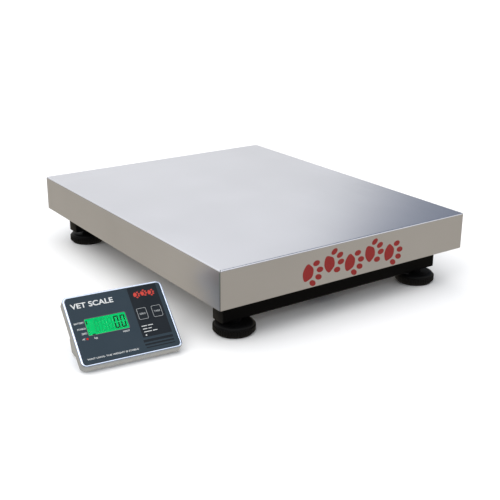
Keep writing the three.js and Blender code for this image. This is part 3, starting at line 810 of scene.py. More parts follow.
def build_moulded_texture(name):
    """The fine pebble of powder coat, moulded plastic or rubber."""
    group, start, end = shader_group(
        name,
        {"Scale": (VALUE, 900.0), "Blotch": (VALUE, 25.0)},
        {"Height": VALUE, "Blotch": VALUE},
    )
    place = put(group, "ShaderNodeTexCoord")
    pebble = put(
        group,
        "ShaderNodeTexVoronoi",
        {"Vector": place.outputs["Object"], "Scale": start.outputs["Scale"]},
        feature="SMOOTH_F1",
    )
    grain = noise(group, place.outputs["Object"], start.outputs["Scale"], 3.0)
    height = reckon(group, "ADD", pebble.outputs["Distance"], grain)
    blotch = noise(group, place.outputs["Object"], start.outputs["Blotch"], 5.0)
    group.links.new(height, end.inputs["Height"])
    group.links.new(blotch, end.inputs["Blotch"])
    return group


def build_edge_wear(name):
    """Rubbed edges: the marked edges, broken up by noise."""
    group, start, end = shader_group(
        name,
        {"Amount": (VALUE, 0.5), "Scale": (VALUE, 60.0)},
        {"Wear": VALUE},
    )
    place = put(group, "ShaderNodeTexCoord")
    marked = put(group, "ShaderNodeAttribute", attribute_name="edge")
    cloud = noise(group, place.outputs["Object"], start.outputs["Scale"], 6.0)
    broken = spread(group, cloud, 0.0, 1.0, start=0.45, end=0.62)
    worn = reckon(group, "MULTIPLY", marked.outputs["Fac"], broken)
    scaled = reckon(group, "MULTIPLY", worn, start.outputs["Amount"])
    group.links.new(scaled, end.inputs["Wear"])
    return group


def build_dust(name):
    """A thin film of dust on what faces up."""
    group, start, end = shader_group(
        name,
        {"Amount": (VALUE, 0.2), "Scale": (VALUE, 40.0)},
        {"Dust": VALUE},
    )
    place = put(group, "ShaderNodeTexCoord")
    facing = put(group, "ShaderNodeSeparateXYZ", {"Vector": place.outputs["Normal"]})
    upward = spread(group, facing.outputs["Z"], 0.0, 1.0, start=0.3, end=1.0)
    cloud = noise(group, place.outputs["Object"], start.outputs["Scale"], 6.0)
    thick = reckon(group, "MULTIPLY", upward, cloud)
    scaled = reckon(group, "MULTIPLY", thick, start.outputs["Amount"])
    group.links.new(scaled, end.inputs["Dust"])
    return group


def grouped(tree, name, build, **inputs):
    """A shader group placed in a material with its own values."""
    values = {key.title(): value for key, value in inputs.items()}
    return put(tree, "ShaderNodeGroup", values, node_tree=once(name, build))


# ---- Finishes -----------------------------------------------------------------------------------


def set_shader(shader, **values):
    """Sets sockets of the Principled shader that are the same all over."""
    for key, value in values.items():
        shader.inputs[key.replace("_", " ").title().replace("Ior", "IOR")].default_value = value


def blend_colours(tree, amount, first, second, blend_type="MIX"):
    """A colour between two, by a mask or a share."""
    colour_a, colour_b, result = 6, 7, 2
    inputs = {"Factor": amount}
    for index, value in ((colour_a, first), (colour_b, second)):
        linked = isinstance(value, bpy.types.NodeSocket)
        inputs[index] = value if linked else (*value, 1)
    made = put(tree, "ShaderNodeMix", inputs, data_type="RGBA", blend_type=blend_type)
    return made.outputs[result]


def add_bump(tree, shader, height, strength, distance, under=None):
    """Bumps a surface, on top of another bump where one is given."""
    inputs = {"Height": height, "Strength": strength, "Distance": distance}
    bump = put(tree, "ShaderNodeBump", inputs)
    if under is not None:
        tree.links.new(under, bump.inputs["Normal"])
    tree.links.new(bump.outputs["Normal"], shader.inputs["Normal"])
    return bump.outputs["Normal"]


def shade(base, factor):
    """A colour made darker or lighter."""
    return tuple(min(1.0, part * factor) for part in base)


def steel(tree, shader, base, rough, across, along, wobble, streak):
    """Stainless sheet: scratches in the polish and a slow wobble in its flatness."""
    set_shader(shader, metallic=1.0)
    grain = grouped(tree, "Brushed grain", build_brushed_grain, across=across, along=along)
    drift = grain.outputs["Drift"]
    scratch = grain.outputs["Scratch"]
    tone = blend_colours(tree, drift, shade(base, 0.9), shade(base, 1.1))
    streaked = blend_colours(tree, streak, tone, scratch, "MULTIPLY")
    tree.links.new(streaked, shader.inputs["Base Color"])
    tree.links.new(spread(tree, scratch, rough * 0.8, rough * 1.25), shader.inputs["Roughness"])
    slow = add_bump(tree, shader, drift, wobble, 2 * MM)
    add_bump(tree, shader, scratch, 0.08, 0.02 * MM, under=slow)


def pan_steel(tree, shader):
    """The pan's sheet, duller on its skirts, with painted shade inside its seams."""
    steel(tree, shader, colours().steel, 0.2, across=900, along=7, wobble=0.02, streak=0.12)
    rough = shader.inputs["Roughness"].links[0].from_socket
    place = put(tree, "ShaderNodeTexCoord")
    facing = put(tree, "ShaderNodeSeparateXYZ", {"Vector": place.outputs["Normal"]})
    duller = spread(tree, facing.outputs["Z"], 0.18, 0.0, start=0.0, end=0.5)
    tree.links.new(reckon(tree, "ADD", rough, duller), shader.inputs["Roughness"])
    tone = shader.inputs["Base Color"].links[0].from_socket
    # Painted shade: the faces inside the corner seams are coloured near black.
    seam = put(tree, "ShaderNodeAttribute", attribute_name="seam")
    seam_shaded_tone = blend_colours(tree, seam.outputs["Fac"], tone, (0.01, 0.01, 0.01))
    tree.links.new(seam_shaded_tone, shader.inputs["Base Color"])


def case_steel(tree, shader):
    # The blue in this base colour is painted reflection, not the colour of the steel.
    steel(tree, shader, colours().case_steel, 0.12, across=170, along=25, wobble=0.3, streak=0.4)


def moulded(tree, shader, base, rough, scale, depth, wear=0.0, dust=0.0):
    """Powder coat, plastic or rubber: a pebbled skin with blotches, rubbed edges and dust."""
    skin_group = grouped(tree, "Moulded texture", build_moulded_texture, scale=scale)
    blotch = skin_group.outputs["Blotch"]
    tone = blend_colours(tree, blotch, shade(base, 0.75), shade(base, 1.3))
    if wear > 0:
        rubbed = grouped(tree, "Edge wear", build_edge_wear, amount=wear)
        tone = blend_colours(tree, rubbed.outputs["Wear"], tone, shade(base, 3.0))
    if dust > 0:
        film = grouped(tree, "Dust", build_dust, amount=dust)
        tone = blend_colours(tree, film.outputs["Dust"], tone, (0.3, 0.29, 0.27))
    tree.links.new(tone, shader.inputs["Base Color"])
    tree.links.new(spread(tree, blotch, rough * 0.88, rough * 1.12), shader.inputs["Roughness"])
    add_bump(tree, shader, skin_group.outputs["Height"], 0.35, depth)


def powder_coat(tree, shader):
    set_shader(shader, specular_ior_level=0.04)
    moulded(tree, shader, colours().paint, 0.5, 1300, 0.05 * MM, wear=0.35, dust=0.01)


def black_plastic(tree, shader):
    set_shader(shader, specular_ior_level=0.12)
    moulded(tree, shader, colours().plastic, 0.5, 1600, 0.03 * MM, wear=0.4, dust=0.01)


def black_rubber(tree, shader):
    set_shader(shader, specular_ior_level=0.1)
    moulded(tree, shader, (0.006, 0.006, 0.006), 0.8, 900, 0.08 * MM, dust=0.02)


def plated_metal(tree, shader, base, rough):
    """Plated or machined metal: faint tool marks and rubbed edges."""
    set_shader(shader, metallic=1.0)
    grain = grouped(tree, "Brushed grain", build_brushed_grain, across=1500, along=300, drift=60)
    rubbed = grouped(tree, "Edge wear", build_edge_wear, amount=0.5)
    tone = blend_colours(tree, grain.outputs["Drift"], shade(base, 0.8), shade(base, 1.1))
    tone = blend_colours(tree, rubbed.outputs["Wear"], tone, shade(base, 1.35))
    tree.links.new(tone, shader.inputs["Base Color"])
    tree.links.new(
        spread(tree, grain.outputs["Drift"], rough * 0.75, rough * 1.3), shader.inputs["Roughness"]
    )
    add_bump(tree, shader, grain.outputs["Scratch"], 0.15, 0.03 * MM)


def zinc_plate(tree, shader):
    plated_metal(tree, shader, (0.52, 0.53, 0.54), 0.32)


def black_zinc(tree, shader):
    plated_metal(tree, shader, (0.02, 0.02, 0.023), 0.42)


def mill_aluminium(tree, shader):
    plated_metal(tree, shader, (0.66, 0.67, 0.68), 0.38)


def brass(tree, shader):
    plated_metal(tree, shader, (0.62, 0.45, 0.2), 0.28)


def printed(tree, shader, base, rough):
    """Printed film or ink: an even colour with a fine tooth and faint handling marks."""
    tooth_group = grouped(tree, "Moulded texture", build_moulded_texture, scale=2600, blotch=45)
    blotch = tooth_group.outputs["Blotch"]
    tone = blend_colours(tree, blotch, shade(base, 0.93), shade(base, 1.08))
    film = grouped(tree, "Dust", build_dust, amount=0.02)
    tone = blend_colours(tree, film.outputs["Dust"], tone, (0.5, 0.5, 0.5))
    tree.links.new(tone, shader.inputs["Base Color"])
    tree.links.new(spread(tree, blotch, rough * 0.85, rough * 1.15), shader.inputs["Roughness"])
    add_bump(tree, shader, tooth_group.outputs["Height"], 0.25, 0.02 * MM)


def slate_film(tree, shader):
    set_shader(shader, specular_ior_level=0.1)
    printed(tree, shader, colours().slate, 0.55)


def dark_film(tree, shader):
    set_shader(shader, specular_ior_level=0.1)
    printed(tree, shader, colours().panel, 0.5)


def white_ink(tree, shader):
    printed(tree, shader, colours().white_ink, 0.5)


def grey_ink(tree, shader):
    printed(tree, shader, colours().grey_ink, 0.5)


def red_ink(tree, shader):
    set_shader(shader, specular_ior_level=0.3)
    printed(tree, shader, colours().red_ink, 0.45)


def orange_ink(tree, shader):
    printed(tree, shader, colours().orange_ink, 0.5)


def purple_ink(tree, shader):
    printed(tree, shader, (0.09, 0.035, 0.09), 0.5)


def clear_acrylic(tree, shader):
    """Clear window that lets nearly everything through, with faint scuffs."""
    set_shader(shader, base_color=(0.02, 0.05, 0.03, 1), roughness=0.05)
    scuffs = grouped(tree, "Brushed grain", build_brushed_grain, across=700, along=80, drift=40)
    tree.links.new(spread(tree, scuffs.outputs["Drift"], 0.015, 0.04), shader.inputs["Alpha"])
    add_bump(tree, shader, scuffs.outputs["Scratch"], 0.05, 0.02 * MM)


def glowing(tree, shader, base, strength, unevenness):
    """A lit part, a little uneven over its surface."""
    place = put(tree, "ShaderNodeTexCoord")
    cloud = noise(tree, place.outputs["Object"], 45.0, 2.0)
    tone = blend_colours(tree, cloud, shade(base, 1 - unevenness), shade(base, 1 + unevenness))
    unlit = blend_colours(tree, cloud, shade(base, 0.04), shade(base, 0.08))
    tree.links.new(tone, shader.inputs["Emission Color"])
    tree.links.new(unlit, shader.inputs["Base Color"])
    set_shader(shader, emission_strength=strength, specular_ior_level=0.05, roughness=0.35)


def lit_display(tree, shader):
    glowing(tree, shader, colours().lit, 1.1, 0.12)


def ghost_segments(tree, shader):
    glowing(tree, shader, shade(colours().lit, 0.86), 0.9, 0.1)


def dark_segments(tree, shader):
    set_shader(shader, specular_ior_level=0.05)
    printed(tree, shader, (0.001, 0.012, 0.006), 0.4)


def red_lens(tree, shader):
    glowing(tree, shader, (0.75, 0.02, 0.02), 0.8, 0.15)
    set_shader(shader, roughness=0.15)


def circuit_board(tree, shader):
    set_shader(shader, coat_weight=0.6)
    moulded(tree, shader, (0.01, 0.08, 0.03), 0.4, 500, 0.02 * MM)


def battery_wrap(tree, shader):
    moulded(tree, shader, (0.02, 0.08, 0.24), 0.35, 300, 0.03 * MM)


def white_sealant(tree, shader):
    moulded(tree, shader, (0.7, 0.7, 0.68), 0.5, 250, 0.2 * MM)


FINISHES = {
    "pan_steel": pan_steel,
    "case_steel": case_steel,
    "powder_coat": powder_coat,
    "black_plastic": black_plastic,
    "black_rubber": black_rubber,
    "zinc_plate": zinc_plate,
    "black_zinc": black_zinc,
    "mill_aluminium": mill_aluminium,
    "brass": brass,
    "slate_film": slate_film,
    "dark_film": dark_film,
    "white_ink": white_ink,
    "grey_ink": grey_ink,
    "red_ink": red_ink,
    "orange_ink": orange_ink,
    "purple_ink": purple_ink,
    "clear_acrylic": clear_acrylic,
    "lit_display": lit_display,
    "ghost_segments": ghost_segments,
    "dark_segments": dark_segments,
    "red_lens": red_lens,
    "circuit_board": circuit_board,
    "battery_wrap": battery_wrap,
    "white_sealant": white_sealant,
}


def finish(name):
    """The material of that name, made the first time that it is asked for."""
    title = f"{name}_finish"
    made = bpy.data.materials.get(title)
    if made is None:
        made = bpy.data.materials.new(title)
        made.use_nodes = True
        FINISHES[name](made.node_tree, made.node_tree.nodes["Principled BSDF"])
    return made


def painted(piece, finish_name):
    piece.data.materials.clear()
    piece.data.materials.append(finish(finish_name))
    return piece


def fit(piece, body, finish_name, slot, *nodes):
    """Gives a piece its finish, and lets it ride on a body in the place of CAD nodes. Its slot is not
    used.
    """
    painted(piece, finish_name)
    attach(piece, body)
    if nodes:
        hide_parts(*nodes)
    return piece


def bend_between(piece, fixed, free, finish_name, slot, *nodes):
    """Paints a piece that spans from the base to the upper frame, bakes its place and hides CAD nodes.
    """
    painted(piece, finish_name)
    near, far = middle(fixed), middle(free)
    near.z = far.z = (near.z + far.z) / 2
    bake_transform(piece)
    if nodes:
        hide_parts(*nodes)
    return piece


# ---- Pan ----------------------------------------------------------------------------------------


def skirt_ring(low, high, inset, z, gap, depth):
    """One level of the pan's outline, with the open seam of two skirts at each corner."""
    width = (high.x - low.x) / 2 - inset
    depth_half = (high.y - low.y) / 2 - inset
    centre = (low + high) / 2
    lip = gap * 2.4
    ring = []
    for right, back in ((1, 1), (-1, 1), (-1, -1), (1, -1)):
        side = [
            (width, depth_half - lip),
            (width - gap * 0.4, depth_half - gap),
            (width - depth, depth_half - depth),
            (width - gap, depth_half - gap * 0.4),
            (width - lip, depth_half),
        ]
        if right * back < 0:
            side.reverse()
        ring += [(centre.x + right * x, centre.y + back * y, z) for x, y in side]
    return ring


def pan_shell():
    """A folded sheet with round bends and a small relief hole at the top of each seam."""
    low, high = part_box("pan_cover")
    bend = sizes().bend_radius
    gap = sizes().seam_gap
    seam_depth = sizes().pan_sheet * 0.75
    burr = 0.25 * MM
    rings = [
        skirt_ring(low, high, burr, low.z, gap, seam_depth),
        skirt_ring(low, high, 0, low.z + burr, gap, seam_depth),
        skirt_ring(low, high, 0, high.z - bend * 1.6, gap, seam_depth),
    ]
    steps = 8
    for step in range(steps + 1):
        angle = step / steps * math.pi / 2
        inset = bend * (1 - math.cos(angle))
        z = high.z - bend * (1 - math.sin(angle))
        relief = math.sin(2 * angle)
        seam = gap * (1 + 0.8 * relief) if step < steps else gap * 0.5
        depth = seam_depth * (1 - 0.75 * step / steps)
        rings.append(skirt_ring(low, high, inset, z, seam, depth))
    shape = skin(rings, capped=False)
    # Marks the faces inside each corner seam; the pan's finish paints shade on them.
    seam_shade_mask = shape.faces.layers.float.new("seam")
    corner_faces, seam_faces = 5, (1, 2)
    for index, face in enumerate(shape.faces):
        face[seam_shade_mask] = float(index % corner_faces in seam_faces)
    shape.verts.ensure_lookup_table()
    shape.faces.new(shape.verts[-len(rings[-1]):])
    pan = as_piece(shape, "stainless_pan", smooth=30)
    wall = pan.modifiers.new("Sheet", "SOLIDIFY")
    wall.thickness = sizes().pan_sheet
    wall.offset = -1
    return evened(settled(pan))


def paw(size, thick):
    """A paw print: a broad pad and four toes."""
    pad = [
        (0.34 * math.cos(t) * (1 + 0.12 * math.cos(3 * t + math.pi / 2)), 0.26 * math.sin(t) - 0.2)
        for t in (2 * math.pi * i / 40 for i in range(40))
    ]
    toes = ((-0.4, 0.12, 18), (-0.15, 0.36, 6), (0.15, 0.36, -6), (0.4, 0.12, -18))
    shapes = [prism([(size * x, size * y) for x, y in pad], 0, thick)]
    for x, y, lean in toes:
        toe = [(0.115 * px, 0.165 * py) for px, py in circle(1, 24)]
        turn = Matrix.Rotation(math.radians(lean), 2)
        places = [turn @ Vector(point) for point in toe]
        shapes.append(prism([(size * (p.x + x), size * (p.y + y)) for p in places], 0, thick))
    return gathered(shapes)


def paw_trail(size, span, count, thick, sway):
    """Paw prints in a row from x = 0 to span, stepping up and down."""
    shapes = []
    for step in range(count):
        x = size * 0.5 + (span - size) * step / (count - 1)
        y = sway if step % 2 else -sway
        lean = Matrix.Rotation(math.radians(-78 if step % 2 else -102), 4, "Z")
        shapes.append(moved(paw(size, thick), Matrix.Translation((x, y, 0)) @ lean))
    return gathered(shapes)


class SCALE_OT_pan(bpy.types.Operator):
    """Build the stainless pan with its folded skirt"""

    bl_idname = "scale.pan"
    bl_label = "Stainless Pan"
    bl_options = {"REGISTER", "UNDO"}

    def execute(self, context):
        fit(pan_shell(), "pan", "pan_steel", "brushed_steel", "pan_cover")
        return {"FINISHED"}


class SCALE_OT_paw_prints(bpy.types.Operator):
    """Stick the red paw prints on the pan's front skirt"""

    bl_idname = "scale.paw_prints"
    bl_label = "Paw Prints"
    bl_options = {"REGISTER", "UNDO"}

    print_size: length("Print Size", "Height of one paw print", 40)
    span: length("Span", "Length of the row of prints", 208)
    start: length("Start", "From the pan's left side to the row", 149)

    def execute(self, context):
        low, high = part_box("pan_cover")
        count, thick, sway = 5, 0.12 * MM, 5 * MM
        trail = paw_trail(self.print_size, self.span, count, thick, sway)
        upright = Matrix.Rotation(math.pi / 2, 4, "X")
        sunk, below_middle = 0.02 * MM, 3 * MM
        level = (low.z + high.z) / 2 - below_middle
        corner = Matrix.Translation((low.x + self.start, low.y + sunk, level))
        prints = as_piece(trail, "skirt_paw_prints", corner @ upright)
        fit(prints, "pan", "red_ink", "red_lens")
        return {"FINISHED"}


# ---- Frames -------------------------------------------------------------------------------------


def outer_edge(node):
    """Tells the outer edges of a box-shaped node from those of its holes and its hollow."""
    low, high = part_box(node)

    def test(place):
        touching = sum(
            min(abs(place[axis] - low[axis]), abs(place[axis] - high[axis])) < 0.01 * MM
            for axis in range(3)
        )
        return touching >= 2

    return test


def plug(name, beam, side, levels):
    """A plastic plug in a tube's end, from (distance out of the end, inset from the tube's outside)."""
    low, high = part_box(beam)
    width, height = high.y - low.y, high.z - low.z
    radius = sizes().tube_radius
    rings = []
    for out, inset in levels:
        outline = rounded_outline(
            width - 2 * inset, height - 2 * inset, max(radius - inset, 0.6 * MM), 5
        )
        rings.append([(x, y, out) for x, y in outline])
    outward = Vector((side, 0, 0))
    axes = Matrix((UP.cross(outward), UP, outward)).transposed().to_4x4()
    end = Vector((high.x if side > 0 else low.x, (low.y + high.y) / 2, (low.z + high.z) / 2))
    return as_piece(skin(rings), name, Matrix.Translation(end) @ axes)


def capped_end(name, beam, side):
    """A plug with a rounded flange over the tube's end."""
    thick = sizes().cap_thickness
    levels = ((-6 * MM, 3.2 * MM), (0.1 * MM, 3.2 * MM), (0.1 * MM, 0), (thick * 0.5, 0))
    return plug(name, beam, side, levels + ((thick * 0.85, 0.35 * MM), (thick, 0.9 * MM)))


def flush_end(name, beam, side):
    """A plug sunk just inside the tube's end."""
    levels = ((-9 * MM, 2.6 * MM), (-1.2 * MM, 2.6 * MM), (-0.8 * MM, 3 * MM))
    return plug(name, beam, side, levels)


def weld(name, body, runs, spacing, ripple):
    """A weld along straight runs, each from a point to a point."""
    wire = bmesh.new()
    for start, end in runs:
        wire.edges.new((wire.verts.new(start), wire.verts.new(end)))
    bead = as_piece(wire, name)
    grown(
        bead,
        once("Weld bead", build_weld_bead),
        spacing=spacing,
        ripple=ripple,
        material=finish("powder_coat"),
    )
    shaded(bead, 60)
    return fit(bead, body, "powder_coat", "black_paint")


def spine_welds(spine, low_z, high_z):
    """Upright and level runs where a spine's ends meet the two cross beams."""
    low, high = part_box(spine)
    runs = []
    for y in (low.y, high.y):
        for x in (low.x, high.x):
            runs.append(((x, y, low_z), (x, y, high_z)))
        runs.append(((low.x, y, high_z), (high.x, y, high_z)))
    return runs


class SCALE_OT_base_frame(bpy.types.Operator):
    """Build the black base frame with its end caps and welds"""

    bl_idname = "scale.base_frame"
    bl_label = "Base Frame"
    bl_options = {"REGISTER", "UNDO"}

    def execute(self, context):
        for end in ENDS:
            node = f"base_{end}_beam"
            beam = eased_copy(node, f"{node}_tube", sizes().tube_radius, 4, outer_edge(node))
            fit(beam, "base", "powder_coat", "black_paint", node)
            for name, side in SIDES:
                cap = capped_end(f"{node}_cap_{name}", node, side)
                fit(cap, "base", "black_plastic", "black_plastic")
        spine = eased_copy("base_spine", "base_channel", 0.8 * MM)
        fit(spine, "base", "powder_coat", "black_paint", "base_spine")
        low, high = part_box("base_spine")
        runs = []
        for y in (low.y, high.y):
            for x in (low.x, high.x):
                runs.append(((x, y, low.z + MM), (x, y, high.z - MM)))
        weld("base_welds", "base", runs, sizes().bead_spacing, 1.6 * MM)
        return {"FINISHED"}


class SCALE_OT_upper_frame(bpy.types.Operator):
    """Build the upper frame that carries the pan, with its rubber bumpers"""

    bl_idname = "scale.upper_frame"
    bl_label = "Upper Frame"
    bl_options = {"REGISTER", "UNDO"}

    def execute(self, context):
        for end in ENDS:
            node = f"upper_{end}_beam"
            beam = eased_copy(node, f"{node}_tube", 0.9 * MM, 3, outer_edge(node))
            fit(beam, "upper_frame", "powder_coat", "black_paint", node)
            for name, side in SIDES:
                cap = flush_end(f"{node}_plug_{name}", node, side)
                fit(cap, "upper_frame", "black_plastic", "black_plastic")
        spine = eased_copy("upper_spine", "upper_spine_tube", 0.9 * MM)
        fit(spine, "upper_frame", "powder_coat", "black_paint", "upper_spine")
        beam_low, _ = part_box("upper_front_beam")
        _, spine_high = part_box("upper_spine")
        runs = spine_welds("upper_spine", beam_low.z + MM, spine_high.z)
        weld("upper_welds", "upper_frame", runs, sizes().bead_spacing, 1.3 * MM)
        for corner in CORNERS:
            self.add_bumper(corner)
        return {"FINISHED"}

    def add_bumper(self, corner):
        """A rubber button with a moulded ring and a dimple over its pin."""
        node = f"pan_bumper_{corner}"
        low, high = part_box(node)
        radius = (high.x - low.x) / 2
        top = high.z - low.z
        profile = [
            (0, 0),
            (radius - 0.4 * MM, 0),
            (radius, 0.4 * MM),
            *arc(radius - MM, top - MM, MM, 0, 90),
            (radius * 0.72, top),
            (radius * 0.68, top - 0.5 * MM),
            (radius * 0.6, top - 0.5 * MM),
            (radius * 0.56, top),
            (radius * 0.24, top),
            (radius * 0.16, top - 1.2 * MM),
            (0, top - 1.2 * MM),
        ]
        place = Matrix.Translation((*halfway(low, high), low.z))
        bumper = as_piece(turned(profile), f"bumper_button_{corner}", place)
        fit(bumper, "upper_frame", "black_rubber", "black_rubber", node)


# ---- Load cell ----------------------------------------------------------------------------------


def threaded(core, name, radius, bottom, top, pitch, finish_name, place):
    """A turned core with a real thread between two heights."""
    piece = as_piece(core, name)
    grown(
        piece,
        once("Screw thread", build_thread),
        turns=(top - bottom) / pitch,
        radius=radius - pitch * 0.28,
        length=top - bottom,
        ridge=pitch * 0.42,
        bottom=bottom,
        material=finish(finish_name),
    )
    piece.data.transform(place)
    return shaded(piece, 40)


class SCALE_OT_load_cell(bpy.types.Operator):
    """Build the load cell with its sealed gauges, spacers and bolts"""

    bl_idname = "scale.load_cell"
    bl_label = "Load Cell"
    bl_options = {"REGISTER", "UNDO"}

    def execute(self, context):
        low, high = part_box("load_cell")
        cell = eased_copy("load_cell", "load_cell_bar", 0.5 * MM)
        spacers = ("lower_spacer", "upper_spacer")
        bend_between(cell, *spacers, "mill_aluminium", "mill_aluminium", "load_cell")
        centre = (low + high) / 2
        seals = []
        for side in (-1, 1):
            outline = rounded_outline(34 * MM, 9 * MM, 3 * MM, 6)
            pad = moved(prism(outline, 0, 0.5 * MM, 0.2 * MM), self.on_side(centre, side, high))
            seals.append(pad)
        seal = as_piece(gathered(seals), "gauge_seal")
        bend_between(seal, *spacers, "white_sealant", "mill_aluminium")
        for part, body in (("lower", "base"), ("upper", "upper_frame")):
            spacer = eased_copy(f"{part}_spacer", f"{part}_spacer_plate", 0.4 * MM)
            fit(spacer, body, "zinc_plate", "zinc_plate", f"{part}_spacer")
            for index in (1, 2):
                self.add_bolt(part, body, f"{part}_cell_bolt_{index}")
        return {"FINISHED"}

    def on_side(self, centre, side, high):
        """Places a flat patch on the cell's left or right side, along it and above its bores."""
        outward = Vector((side, 0, 0))
        axes = Matrix((UP.cross(outward), UP, outward)).transposed().to_4x4()
        place = Vector((centre.x + side * (high.x - centre.x), centre.y, high.z - 5.5 * MM))
        return Matrix.Translation(place) @ axes

    def add_bolt(self, part, body, node):
        """A hexagon bolt: the lower ones come up from below, the upper ones down from above."""
        low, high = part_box(node)
        head_height = 8 * MM
        apothem = (high.y - low.y) / 2
        shank = 5 * MM
        total = high.z - low.z
        head = nut(apothem, 0, head_height, 0)
        bottom, top = -(total - head_height), 0
        core = shank - 0.5 * MM
        profile = [
            (0, bottom),
            (shank - MM, bottom),
            (core, bottom + MM),
            (core, top + MM),
            (0, top + MM),
        ]
        rod = turned(profile, 24)
        centre = (low + high) / 2
        place = Matrix.Translation((centre.x, centre.y, high.z - head_height))
        if part == "lower":
            place = Matrix.Translation((centre.x, centre.y, low.z + head_height))
            place = place @ Matrix.Rotation(math.pi, 4, "X")
        bolt = threaded(
            gathered([head, rod]),
            f"{node}_hex",
            shank,
            bottom + MM,
            -MM,
            1.5 * MM,
            "zinc_plate",
            place,
        )
        fit(bolt, body, "zinc_plate", "zinc_plate", node)


# ---- Overload stops -----------------------------------------------------------------------------


class SCALE_OT_overload_stops(bpy.types.Operator):
    """Build the threaded overload stops with their nuts"""

    bl_idname = "scale.overload_stops"
    bl_label = "Overload Stops"
    bl_options = {"REGISTER", "UNDO"}

    nut_height: length("Nut Height", "Height of the nut on each stop", 6)
    rod_radius: length("Rod Radius", "Outside radius of each stop's thread", 4)

    def execute(self, context):
        for corner in CORNERS:
            node = f"overload_stop_{corner}"
            low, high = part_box(node)
            end, _ = corner.split("_")
            beam_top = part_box(f"base_{end}_beam")[1].z
            nut_bottom = beam_top - low.z + 0.3 * MM
            reach = high.z - low.z
            apothem = (high.x - low.x) / 2 * math.cos(math.pi / 6)
            radius = self.rod_radius
            core = radius - 0.4 * MM
            round_end = arc(core - MM, reach - MM, MM, 10, 90)
            profile = [(0, 0), (core, 0), (core, reach - 0.8 * MM), *round_end, (0, reach)]
            rod = turned(profile, 24)
            collar = nut(apothem, nut_bottom, nut_bottom + self.nut_height, core)
            centre = (low + high) / 2
            stop = threaded(
                gathered([rod, collar]),
                f"stop_rod_{corner}",
                radius,
                MM,
                reach - 1.5 * MM,
                sizes().stop_pitch,
                "zinc_plate",
                Matrix.Translation((centre.x, centre.y, low.z)),
            )
            fit(stop, "base", "zinc_plate", "zinc_plate", node)
        return {"FINISHED"}


# ---- Levelling feet -----------------------------------------------------------------------------


